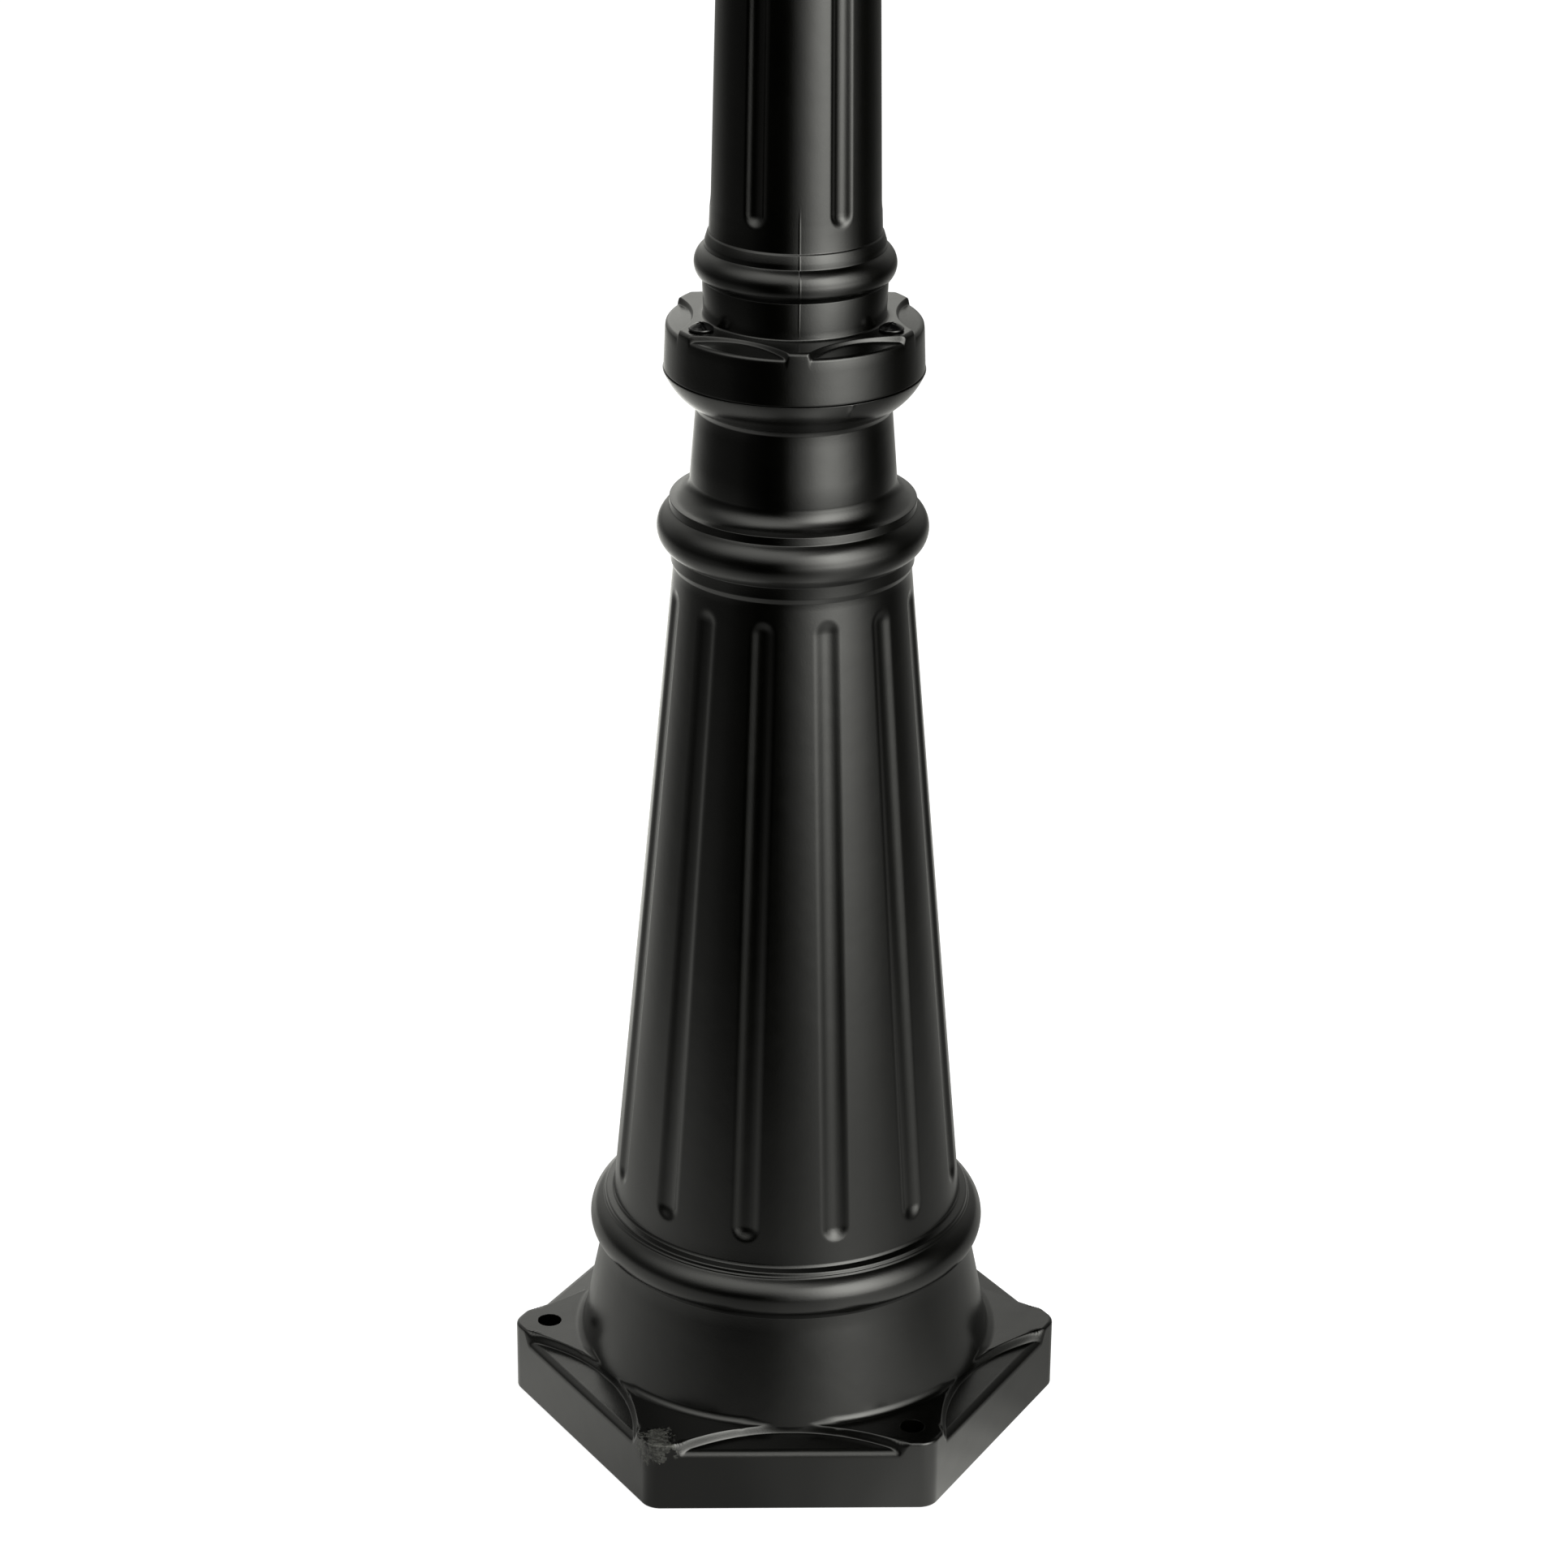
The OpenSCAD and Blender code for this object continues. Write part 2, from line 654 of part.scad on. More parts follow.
module coupling_tube() {
    color(steel) translate([0, 0, upper_z - coupling_l / 2]) difference() {
        cylinder(r = coupling_r, h = coupling_l);
        translate([0, 0, -1]) cylinder(r = coupling_r - coupling_wall, h = coupling_l + 2);
    }
}

module coupling_collar() {
    mid_z = joint_z + joint_ledge_t / 2;
    low_z = mid_z - joint_ring_half_h;
    high_z = mid_z + joint_ring_half_h;
    edge_r = joint_r + 5.4;
    waist_r = edge_r - 1.6;
    bore_r = coupling_r + slip_gap;
    color(black) difference() {
        rotate_extrude() difference() {
            union() {
                polygon([[bore_r, low_z], [edge_r, low_z], [edge_r, low_z + 4], [waist_r, low_z + 6],
                         [waist_r, high_z - 6], [edge_r, high_z - 4], [edge_r, high_z], [bore_r, high_z]]);
                ring_section(waist_r, mid_z, 6.6);
            }
            translate([0, low_z - 1]) square([collar_lower_bore_r, joint_z - low_z + 1]);
            translate([0, upper_z]) square([upper_pole_r + slip_gap, joint_ring_half_h]);
        }
        for (a = screw_angles, s = [-1, 1]) rotate(a)
            translate([coupling_r, 0, mid_z + s * collar_screw_offset]) rotate([0, 90, 0])
                cylinder(d = set_screw_d, h = joint_r);
    }
}

module collar_screws() {
    mid_z = joint_z + joint_ledge_t / 2;
    low_z = mid_z - collar_screw_offset;
    high_z = mid_z + collar_screw_offset;
    for (a = screw_angles) color(screw_black) rotate(a) {
        translate([lower_r(low_z - set_screw_d / 2) + 0.02, 0, low_z]) set_screw(set_screw_d - 0.1, 6);
        translate([upper_r(high_z - set_screw_d / 2) + 0.02, 0, high_z]) set_screw(set_screw_d - 0.1, 6);
    }
}

module upper_pole() {
    color(black) difference() {
        rotate_extrude() difference() {
            polygon([[0, upper_z], [upper_pole_r, upper_z], [upper_pole_top_r, upper_top_z],
                     [0, upper_top_z]]);
            polygon([[0, upper_z - 1], [coupling_r + slip_gap, upper_z - 1],
                     [coupling_r + slip_gap, upper_z + joint_socket_h],
                     [upper_pole_top_r - pole_wall, upper_z + joint_socket_h + 8],
                     [upper_pole_top_r - pole_wall, upper_top_z + 1], [0, upper_top_z + 1]]);
        }
        for (k = [0 : pole_flutes - 1]) rotate(360 * k / pole_flutes)
            flute(upper_flute_z, upper_flute_top_z, upper_r(upper_flute_z), upper_r(upper_flute_top_z),
                  pole_flute_joint_w, upper_flute_w, pole_flute_r);
    }
}

// The capital on the pole, with the tenon that carries the lantern

module capital() {
    foot_r = capital_bore_r + 5;
    bulge_z = capital_z + capital_socket_h - 4;
    color(black) difference() {
        rotate_extrude() difference() {
            union() {
                polygon([[0, capital_z], [foot_r, capital_z], [foot_r, capital_z + 5],
                         [foot_r - 1.4, capital_z + 7], [foot_r + 2, bulge_z - 8],
                         [shoulder_r + 1, bulge_z], [shoulder_r, bulge_z + 8],
                         [shoulder_r - 5, shoulder_z - 14], [shoulder_r - 4, shoulder_z - 8],
                         [shoulder_r, shoulder_z - 4], [shoulder_r, shoulder_z], [0, shoulder_z]]);
                ring_section(shoulder_r, bulge_z, 7);
                translate([0, shoulder_z - 1]) square([tenon_r, tenon_h + 1]);
            }
            translate([0, capital_z - 1]) square([capital_bore_r, capital_socket_h + 1]);
            translate([0, capital_z]) square([upper_pole_top_r - pole_wall, capital_h + tenon_h + 1]);
        }
        for (a = screw_angles) rotate(a) translate([capital_bore_r - 3, 0, capital_screw_z])
            rotate([0, 90, 0]) cylinder(d = set_screw_d, h = shoulder_r);
    }
}

module capital_screws() {
    start_r = upper_r(capital_screw_z - set_screw_d / 2) + 0.02;
    for (a = screw_angles) color(screw_black) rotate(a)
        translate([start_r, 0, capital_screw_z]) set_screw(set_screw_d - 0.1, 6);
}

// The lantern's cup, bowl and bottom plate in one casting

module lantern_base() {
    bowl_edge_r = plate_reach * cos30 - 8;
    color(black) difference() {
        union() {
            rotate_extrude() {
                polygon([[0, shoulder_z], [cup_r, shoulder_z], [cup_r, cup_top_z - 6], [cup_r + 3, cup_top_z],
                         [cup_r + 8, cup_top_z + bowl_h * 0.3], [cup_r + 20, cup_top_z + bowl_h * 0.62],
                         [bowl_edge_r, plate_z], [bowl_edge_r, plate_z + plate_t / 2],
                         [0, plate_z + plate_t / 2]]);
                ring_section(cup_r, cup_top_z - 6, 3.6);
                ring_section(cup_r - 0.6, shoulder_z + 4, 3.4);
            }
            translate([0, 0, plate_z]) linear_extrude(plate_t) rounded_hexagon(plate_reach, 6);
        }
        translate([0, 0, shoulder_z - 1]) cylinder(r = cup_bore_r, h = tenon_h + 3);
        // Hollow above the tenon, open only through the cup
        translate([0, 0, shoulder_z + tenon_h])
            cylinder(r1 = cup_bore_r - 2, r2 = cup_bore_r + 18, h = cup_h + bowl_h - tenon_h - 6);
        for (a = screw_angles) rotate(a) translate([cup_bore_r - 2, 0, thumb_z])
            rotate([0, 90, 0]) cylinder(d = set_screw_d, h = cup_wall + 8);
    }
}

module thumb_screws() {
    head_x = cup_wall + 3.4;
    wing_r = 8;
    wing_t = 2.6;
    for (a = screw_angles) color(screw_black) rotate(a) translate([tenon_r + 0.02, 0, thumb_z]) {
        rotate([0, 90, 0]) cylinder(d = set_screw_d - 0.1, h = head_x);
        translate([head_x - 0.2, 0, 0]) rotate([0, 90, 0]) cylinder(d = 9, h = 2.2);
        translate([head_x + wing_r, wing_t / 2, 0]) rotate([90, 0, 0]) cylinder(r = wing_r, h = wing_t);
    }
}

module reflector() {
    color(steel) translate([0, 0, cage_z]) rotate_extrude()
        polygon([[0, 0], [reflector_r + 4, 0], [reflector_r + 4, 1.6], [reflector_r, 1.6],
                 [reflector_r * 0.52, reflector_h * 0.36], [reflector_r * 0.22, reflector_h * 0.7],
                 [2.5, reflector_h - 1], [1.2, reflector_h], [0, reflector_h]]);
}

// The cage of the lantern, its panes and their clips

module cage_frame() {
    on_side(cage_side, cage_z, cage_lean) translate([0, 0, -frame_t])
        linear_extrude(frame_t) difference() {
            trapezium(cage_reach, cage_top_reach, cage_slant, 0, -frame_run_out, -frame_run_out);
            trapezium(cage_reach, cage_top_reach, cage_slant, frame_w, sill_w, head_w);
        }
}

module lantern_cage() {
    color(black) difference() {
        union() {
            intersection() {
                union() {
                    each_side() cage_frame();
                    each_corner() translate([cage_reach - 1, 0, cage_z]) rotate([0, corner_lean, 0])
                        translate([0, 0, -10]) cylinder(r = corner_bar_r, h = cage_h + 30);
                }
                translate([0, 0, cage_z]) cylinder(r = cage_top_reach + 10, h = cage_h);
            }
            translate([0, 0, cage_top_z - ring_t / 2]) linear_extrude(ring_t / 2) difference() {
                hexagon(cage_top_reach + 1.5);
                hexagon(ring_inner_reach);
            }
        }
        each_corner() translate([corner_screw_r, 0, cage_top_z - ring_t])
            cylinder(d = corner_screw_d + corner_screw_gap, h = ring_t + 1);
    }
}

module glass_pane(k) {
    color(glass) rotate(30 + 60 * k) on_side(cage_side, cage_z, cage_lean)
        translate([0, 0, -frame_t - pane_t]) linear_extrude(pane_t)
            trapezium(cage_reach, cage_top_reach, cage_slant, frame_w - pane_lap, sill_w - pane_lap,
                      head_w - pane_lap);
}

// Strip bent over the edge of a pane, drawn as slanted height and depth behind the frame
module clip_outline() {
    lip = pane_t + 0.1;
    polygon([[0, 0], [5.6, 0], [5.6, lip], [9.4, lip], [9.4, lip + 1], [4.6, lip + 1], [4.6, 1], [0, 1]]);
}

module pane_clips() {
    clip_w = 8;
    foot_l = 5.7;
    low = sill_w - pane_lap - foot_l;
    high = cage_slant - (head_w - pane_lap) + foot_l;
    color(steel) each_side() on_side(cage_side, cage_z, cage_lean) for (x = [-0.24, 0.24]) {
        translate([x * cage_reach - clip_w / 2, low, -frame_t])
            rotate([90, 0, 90]) linear_extrude(clip_w) mirror([0, 1]) clip_outline();
        translate([x * cage_top_reach - clip_w / 2, high, -frame_t])
            rotate([90, 0, 90]) linear_extrude(clip_w) mirror([1, 0]) mirror([0, 1]) clip_outline();
    }
}

// The roof, its seal, its panels and the finial

module roof() {
    boss_top_z = slope_z + (roof_side - tray_screw_r) * roof_rise / (roof_side - roof_top_side) - 2;
    color(black) difference() {
        union() {
            each_side() on_side(roof_side, slope_z, roof_lean) translate([0, 0, -roof_t])
                linear_extrude(roof_t) trapezium(roof_reach, roof_top_reach, roof_slant);
            each_corner() translate([roof_reach, 0, slope_z]) rotate([0, ridge_lean, 0])
                cylinder(r = ridge_r, h = roof_rise / cos(ridge_lean));
            each_corner() translate([roof_reach, 0, slope_z]) sphere(ridge_r);
            translate([0, 0, roof_z]) linear_extrude(eave_h) difference() {
                hexagon(roof_reach);
                hexagon(ring_inner_reach);
            }
            translate([0, 0, crown_z - 4]) cylinder(r = crown_r, h = crown_t + 4);
            for (a = screw_angles) rotate(a) translate([tray_screw_r, 0, tray_top_z])
                cylinder(d = 11, h = boss_top_z - tray_top_z - roof_t);
        }
        each_side() on_side(roof_side, slope_z, roof_lean) translate([0, 0, -panel_bed])
            linear_extrude(panel_t + roof_t)
                trapezium(roof_reach, roof_top_reach, roof_slant, panel_margin, panel_margin, panel_margin);
        translate([0, 0, crown_z - stud_l - 8]) cylinder(r = stud_r + slip_gap, h = crown_t + stud_l + 9);
        for (a = screw_angles) rotate(a) translate([tray_screw_r, 0, tray_top_z - 1])
            cylinder(d = corner_screw_d + 0.1, h = tray_screw_l + 1);
        each_corner() translate([corner_screw_r, 0, roof_z - 1])
            cylinder(d = corner_screw_d + 0.1, h = eave_h - 1);
    }
}

module solar_panel(k) {
    inset = panel_margin + panel_gap;
    color(cell_blue) rotate(30 + 60 * k) on_side(roof_side, slope_z, roof_lean)
        translate([0, 0, -panel_bed]) linear_extrude(panel_t)
            trapezium(roof_reach, roof_top_reach, roof_slant, inset, inset, inset);
}

module roof_gasket() {
    color([0.12, 0.12, 0.12]) translate([0, 0, cage_top_z]) linear_extrude(gasket_t) difference() {
        hexagon(cage_top_reach - 2);
        hexagon(ring_inner_reach);
        each_corner() translate([corner_screw_r, 0]) circle(d = corner_screw_d + 2 * corner_screw_gap);
    }
}

module roof_screws() {
    color(steel) each_corner() translate([corner_screw_r, 0, cage_top_z - ring_t / 2])
        rotate([180, 0, 0]) pan_screw(corner_screw_d, 7.6, 2.6, ring_t / 2 + gasket_t + eave_h - 4);
}

module finial_washer() {
    color([0.15, 0.15, 0.15]) translate([0, 0, crown_z + crown_t]) difference() {
        cylinder(r = finial_foot_r - 3, h = washer_t);
        translate([0, 0, -1]) cylinder(r = stud_r + slip_gap, h = 4);
    }
}

module finial() {
    foot_z = crown_z + crown_t + washer_t;
    ball_z = foot_z + finial_h * 0.4;
    tip_z = foot_z + finial_h;
    color(black) {
        rotate_extrude() intersection() {
            translate([0, foot_z]) square([finial_foot_r + 10, finial_h]);
            union() {
                polygon([[0, foot_z], [finial_foot_r, foot_z], [finial_foot_r, foot_z + 4],
                         [finial_foot_r * 0.5, foot_z + 9],
                         [finial_foot_r * 0.34, ball_z - finial_ball_r * 0.9],
                         [finial_foot_r * 0.3, ball_z], [7, ball_z + finial_ball_r * 0.8],
                         [5, ball_z + finial_ball_r * 1.2], [8, tip_z - finial_h * 0.3],
                         [1, tip_z], [0, tip_z]]);
                ring_section(0, ball_z, finial_ball_r);
            }
        }
        translate([0, 0, crown_z - stud_l]) cylinder(r = stud_r, h = crown_t + stud_l + 3);
    }
}

// The tray under the roof with the light, the battery, the board and the switch

module light_tray() {
    color([0.85, 0.85, 0.83]) difference() {
        translate([0, 0, tray_z]) linear_extrude(tray_t) hexagon(tray_reach);
        for (a = screw_angles) rotate(a) translate([tray_screw_r, 0, tray_z - 1])
            cylinder(d = corner_screw_d + corner_screw_gap, h = tray_t + 2);
    }
}

module tray_screws() {
    for (a = screw_angles) color(steel) rotate(a) translate([tray_screw_r, 0, tray_z])
        rotate([180, 0, 0]) pan_screw(corner_screw_d, 7.6, 2.6, tray_screw_l);
}

module led_board() {
    color([0.9, 0.9, 0.88]) translate([0, 0, tray_z - led_board_t])
        cylinder(r = led_board_r, h = led_board_t);
}

module led_chips() {
    chip = [3.5, 3.5, 1.4];
    for (k = [0 : 6]) color([0.95, 0.85, 0.3]) rotate(60 * k)
        translate([(k == 6 ? 0 : led_board_r * 0.6) - chip.x / 2, -chip.y / 2, tray_z - led_board_t - chip.z])
            cube(chip);
}

module led_lens() {
    wall = 2;
    dome_r = (lens_r * lens_r + lens_h * lens_h) / (2 * lens_h);
    color([0.95, 0.95, 0.95, 0.7]) difference() {
        union() {
            intersection() {
                translate([0, 0, tray_z - lens_h + dome_r]) sphere(dome_r);
                translate([0, 0, tray_z - lens_h - 1]) cylinder(r = lens_r + 1, h = lens_h + 1);
            }
            translate([0, 0, tray_z - wall]) cylinder(r = lens_r + 5, h = wall);
        }
        intersection() {
            translate([0, 0, tray_z - lens_h + dome_r]) sphere(dome_r - wall);
            translate([0, 0, tray_z - lens_h - 1]) cylinder(r = lens_r + 1, h = lens_h + 2);
        }
    }
}

module battery_holder() {
    length = cell_l + 6;
    color([0.08, 0.08, 0.08]) difference() {
        translate([-length / 2, -holder_w / 2, tray_top_z]) cube([length, holder_w, cell_d * 0.62 + 3]);
        for (k = [-1 : 1]) translate([-cell_l / 2 - 1, k * cell_pitch, cell_z]) rotate([0, 90, 0])
            cylinder(d = cell_d + 0.5, h = cell_l + 2);
    }
}

module battery_cell(k) {
    color([0.16, 0.42, 0.62]) translate([-cell_l / 2, k * cell_pitch, cell_z]) rotate([0, 90, 0]) {
        cylinder(d = cell_d, h = cell_l - 1.2);
        cylinder(d = cell_d * 0.42, h = cell_l);
    }
}

module controller_board() {
    post_w = 4;
    chip_z = post_h + board.z - 0.6;
    color([0.06, 0.30, 0.14]) translate([-board.x / 2, holder_w / 2 + board_gap, tray_top_z]) {
        translate([0, 0, post_h]) cube(board);
        for (x = [3, board.x - 3 - post_w], y = [3, board.y - 3 - post_w])
            translate([x, y, 0]) cube([post_w, post_w, post_h + 0.5]);
        translate([board.x / 2 - 6, board.y / 2 - 5, chip_z]) cube([10, 10, 2.8]);
        translate([board.x - 12, board.y / 2, chip_z]) cylinder(d = 8, h = 11);
        translate([3, board.y / 2 - 4, chip_z]) cube([8, 8, 6]);
    }
}

module switch_housing() {
    color([0.07, 0.07, 0.07]) translate([switch_x, 0, tray_z - switch_h]) difference() {
        translate([-switch_l / 2, -switch_w / 2, 0]) cube([switch_l, switch_w, switch_h]);
        translate([-(knob_l + switch_travel) / 2 - knob_gap, -knob_w / 2 - knob_gap, -1])
            cube([knob_l + switch_travel + 2 * knob_gap, knob_w + 2 * knob_gap, 4]);
    }
}

module switch_slider() {
    grip_h = 3;
    color([0.75, 0.75, 0.72]) translate([switch_x - (knob_l + switch_travel) / 2, 0, tray_z - switch_h]) {
        translate([0, -knob_w / 2, -grip_h]) cube([knob_l, knob_w, grip_h + 3 - knob_gap]);
        for (x = [1.2, 3.1, 5]) translate([x, -knob_w / 2, -grip_h - 0.5]) cube([0.9, knob_w, 0.6]);
    }
}

base_casting();
lower_pole();
flange_screws();
coupling_tube();
coupling_collar();
collar_screws();
upper_pole();
capital();
capital_screws();
lantern_base();
thumb_screws();
reflector();
lantern_cage();
for (k = [1 : sides]) glass_pane(k);
pane_clips();
roof();
roof_screws();
roof_gasket();
for (k = [1 : sides]) solar_panel(k);
finial();
finial_washer();
light_tray();
tray_screws();
led_board();
led_chips();
led_lens();
battery_holder();
for (k = [1 : 3]) battery_cell(k - 2);
controller_board();
switch_housing();
switch_slider();
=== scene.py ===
"""Looks of the solar lamp post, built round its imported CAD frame. Metres, -Y is the front."""

import math

import bpy
import numpy as np
from mathutils import Matrix, Vector


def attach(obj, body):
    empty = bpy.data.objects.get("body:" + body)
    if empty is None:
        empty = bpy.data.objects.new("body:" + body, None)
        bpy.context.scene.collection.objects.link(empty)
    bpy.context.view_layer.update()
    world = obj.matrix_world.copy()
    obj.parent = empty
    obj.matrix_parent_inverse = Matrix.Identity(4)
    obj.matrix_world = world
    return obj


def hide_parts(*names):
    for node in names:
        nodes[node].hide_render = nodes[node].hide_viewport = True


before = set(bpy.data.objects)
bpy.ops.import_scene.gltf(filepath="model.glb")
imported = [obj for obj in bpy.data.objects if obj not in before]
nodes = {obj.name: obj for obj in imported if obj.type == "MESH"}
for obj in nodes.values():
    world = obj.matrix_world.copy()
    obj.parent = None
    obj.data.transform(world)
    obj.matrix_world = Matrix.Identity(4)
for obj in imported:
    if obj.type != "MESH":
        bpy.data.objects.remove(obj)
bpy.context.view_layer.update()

scene = bpy.context.scene
scene.view_settings.view_transform = "Standard"


# Camera, as worked out from the photograph

FOCAL_PIXELS = 5552
IMAGE_PIXELS = 1932
SENSOR_MM = 36
PITCH = 0.409454
ROLL = 0.0094248
TURN = math.radians(-1.53)
CAMERA_PLACE = (-0.002904, -1.9107, 1.14853)


def add_camera():
    forward = Vector((0, math.cos(PITCH), -math.sin(PITCH)))
    level = Vector((1, 0, 0))
    steep = level.cross(forward)
    right = math.cos(ROLL) * level + math.sin(ROLL) * steep
    up = math.cos(ROLL) * steep - math.sin(ROLL) * level
    placed = Matrix((right, up, -forward)).transposed().to_4x4()
    placed.translation = Vector(CAMERA_PLACE)
    data = bpy.data.cameras.new("camera")
    data.sensor_width = SENSOR_MM
    data.lens = FOCAL_PIXELS / IMAGE_PIXELS * SENSOR_MM
    data.clip_end = 60
    camera = bpy.data.objects.new("camera", data)
    camera.matrix_world = Matrix.Rotation(TURN, 4, "Z") @ placed
    scene.collection.objects.link(camera)
    scene.camera = camera


add_camera()


# Node helpers

class Graph:
    """A node tree with short ways to add and join nodes."""

    def __init__(self, tree, clear=True):
        self.tree = tree
        if clear:
            tree.nodes.clear()

    def add(self, kind, **settings):
        node = self.tree.nodes.new(kind)
        for name, value in settings.items():
            setattr(node, name, value)
        return node

    def join(self, source, target):
        self.tree.links.new(source, target)

    def put(self, value, socket):
        """A value is a socket to join or a plain number or colour."""
        if isinstance(value, bpy.types.NodeSocket):
            self.join(value, socket)
        else:
            socket.default_value = value

    def math(self, operation, *values):
        node = self.add("ShaderNodeMath", operation=operation)
        for value, socket in zip(values, node.inputs):
            self.put(value, socket)
        return node.outputs[0]

    def product(self, first, *others):
        for other in others:
            first = self.math("MULTIPLY", first, other)
        return first

    def total(self, first, *others):
        for other in others:
            first = self.math("ADD", first, other)
        return first

    def flat_distance(self, x, y):
        """Distance from the post's axis."""
        return self.math("SQRT", self.total(self.product(x, x), self.product(y, y)))

    def object_place(self):
        """The three coordinates of a point, in the object's own metres."""
        parts = self.add("ShaderNodeSeparateXYZ")
        self.join(self.add("ShaderNodeTexCoord").outputs["Object"], parts.inputs[0])
        return [parts.outputs[k] for k in range(3)]

    def ramp(self, value, low, high, to_low=0.0, to_high=1.0):
        """Smooth step of a value from low to high."""
        node = self.add("ShaderNodeMapRange", interpolation_type="SMOOTHSTEP")
        for socket, number in zip(node.inputs, (value, low, high, to_low, to_high)):
            self.put(number, socket)
        return node.outputs[0]

    def noise(self, scale, detail=3.0, rough=0.5, stretch=None):
        where = self.add("ShaderNodeTexCoord").outputs["Object"]
        if stretch:
            mapping = self.add("ShaderNodeMapping")
            mapping.inputs["Scale"].default_value = stretch
            self.join(where, mapping.inputs["Vector"])
            where = mapping.outputs[0]
        node = self.add("ShaderNodeTexNoise")
        node.inputs["Scale"].default_value = scale
        node.inputs["Detail"].default_value = detail
        node.inputs["Roughness"].default_value = rough
        self.join(where, node.inputs["Vector"])
        return node.outputs["Fac"]

    def blend(self, factor, a, b):
        node = self.add("ShaderNodeMix", data_type="RGBA")
        self.put(factor, node.inputs["Factor"])
        self.put(a, node.inputs["A"])
        self.put(b, node.inputs["B"])
        return node.outputs["Result"]

    def bump(self, height, distance, normal=None):
        node = self.add("ShaderNodeBump")
        node.inputs["Strength"].default_value = 1.0
        node.inputs["Distance"].default_value = distance
        self.put(height, node.inputs["Height"])
        if normal:
            self.join(normal, node.inputs["Normal"])
        return node.outputs[0]


def rgb(r, g, b):
    return (r, g, b, 1.0)


def new_material(name):
    material = bpy.data.materials.new(name)
    material.use_nodes = True
    graph = Graph(material.node_tree)
    shader = graph.add("ShaderNodeBsdfPrincipled")
    graph.join(shader.outputs[0], graph.add("ShaderNodeOutputMaterial").inputs[0])
    return material, graph, shader


def surface(name, dark, light, rough, spread=0.05, grain=900.0, grain_depth=0.00002, patch=25.0,
            metallic=0.0, wave=0.0, wave_scale=45.0):
    """A coat, plastic or metal whose colour and gloss vary a little, with fine grain and soft waves."""
    material, graph, shader = new_material(name)
    cloud = graph.ramp(graph.noise(patch, 4.0, 0.6), 0.3, 0.7)
    graph.put(graph.blend(cloud, rgb(*dark), rgb(*light)), shader.inputs["Base Color"])
    mottle = graph.math("MULTIPLY_ADD", graph.noise(patch * 6, 3.0), spread, rough - spread / 2)
    graph.put(mottle, shader.inputs["Roughness"])
    normal = graph.bump(graph.noise(grain, 2.0, 0.6), grain_depth)
    if wave:
        normal = graph.bump(graph.noise(wave_scale, 2.0, 0.5), wave, normal=normal)
    graph.put(normal, shader.inputs["Normal"])
    shader.inputs["Metallic"].default_value = metallic
    shader.inputs["IOR"].default_value = 1.5
    return material


SURFACES = {
    "black_coat": dict(dark=(0.0004, 0.00045, 0.0002), light=(0.0009, 0.00095, 0.0005), rough=0.225,
                       grain=1500.0, grain_depth=0.00003, wave=0.00014),
    "black_screw": dict(dark=(0.002, 0.002, 0.002), light=(0.004, 0.004, 0.004), rough=0.12,
                        grain=2500.0, grain_depth=0.000008, patch=60.0),
    "bright_steel": dict(dark=(0.50, 0.50, 0.49), light=(0.62, 0.62, 0.61), rough=0.26, spread=0.10,
                         grain=1800.0, grain_depth=0.000006, patch=80.0, metallic=1.0),
    "mirror_aluminium": dict(dark=(0.80, 0.81, 0.82), light=(0.88, 0.88, 0.88), rough=0.09,
                             grain=700.0, grain_depth=0.000004, patch=40.0, metallic=1.0),
    "black_rubber": dict(dark=(0.010, 0.010, 0.010), light=(0.020, 0.020, 0.019), rough=0.72,
                         spread=0.10, grain=1400.0, grain_depth=0.00004),
    "white_plastic": dict(dark=(0.66, 0.66, 0.64), light=(0.74, 0.74, 0.72), rough=0.42, spread=0.08,
                          grain_depth=0.00001),
    "black_plastic": dict(dark=(0.012, 0.012, 0.013), light=(0.022, 0.022, 0.023), rough=0.45,
                          spread=0.10, grain=1200.0),
    "led_yellow": dict(dark=(0.80, 0.56, 0.10), light=(0.86, 0.66, 0.18), rough=0.30, spread=0.08,
                       grain=1500.0, grain_depth=0.00001, patch=400.0),
    "cell_wrap": dict(dark=(0.03, 0.13, 0.30), light=(0.04, 0.17, 0.38), rough=0.30, spread=0.08,
                      grain_depth=0.00001),
}
looks = {name: surface(name, **settings) for name, settings in SURFACES.items()}


def see_through(name, tint, rough, patch):
    """Glass or frosted plastic, with a slight unevenness."""
    material, graph, shader = new_material(name)
    cloud = graph.ramp(graph.noise(patch, 3.0), 0.3, 0.7)
    pale = [min(1.0, value * 1.02) for value in tint]
    graph.put(graph.blend(cloud, rgb(*tint), rgb(*pale)), shader.inputs["Base Color"])
    graph.put(graph.math("MULTIPLY_ADD", cloud, 0.02, rough), shader.inputs["Roughness"])
    graph.put(graph.bump(graph.noise(patch * 2, 2.0), 0.00005), shader.inputs["Normal"])
    shader.inputs["Transmission Weight"].default_value = 1.0
    shader.inputs["IOR"].default_value = 1.46
    return material


# Lines of the solar cells, in metres
FINGER_PITCH, FINGER_WIDTH = 0.0022, 0.00022
ROW_PITCH, ROW_WIDTH = 0.0170, 0.0009
COLUMN_PITCH, COLUMN_WIDTH = 0.0264, 0.0008


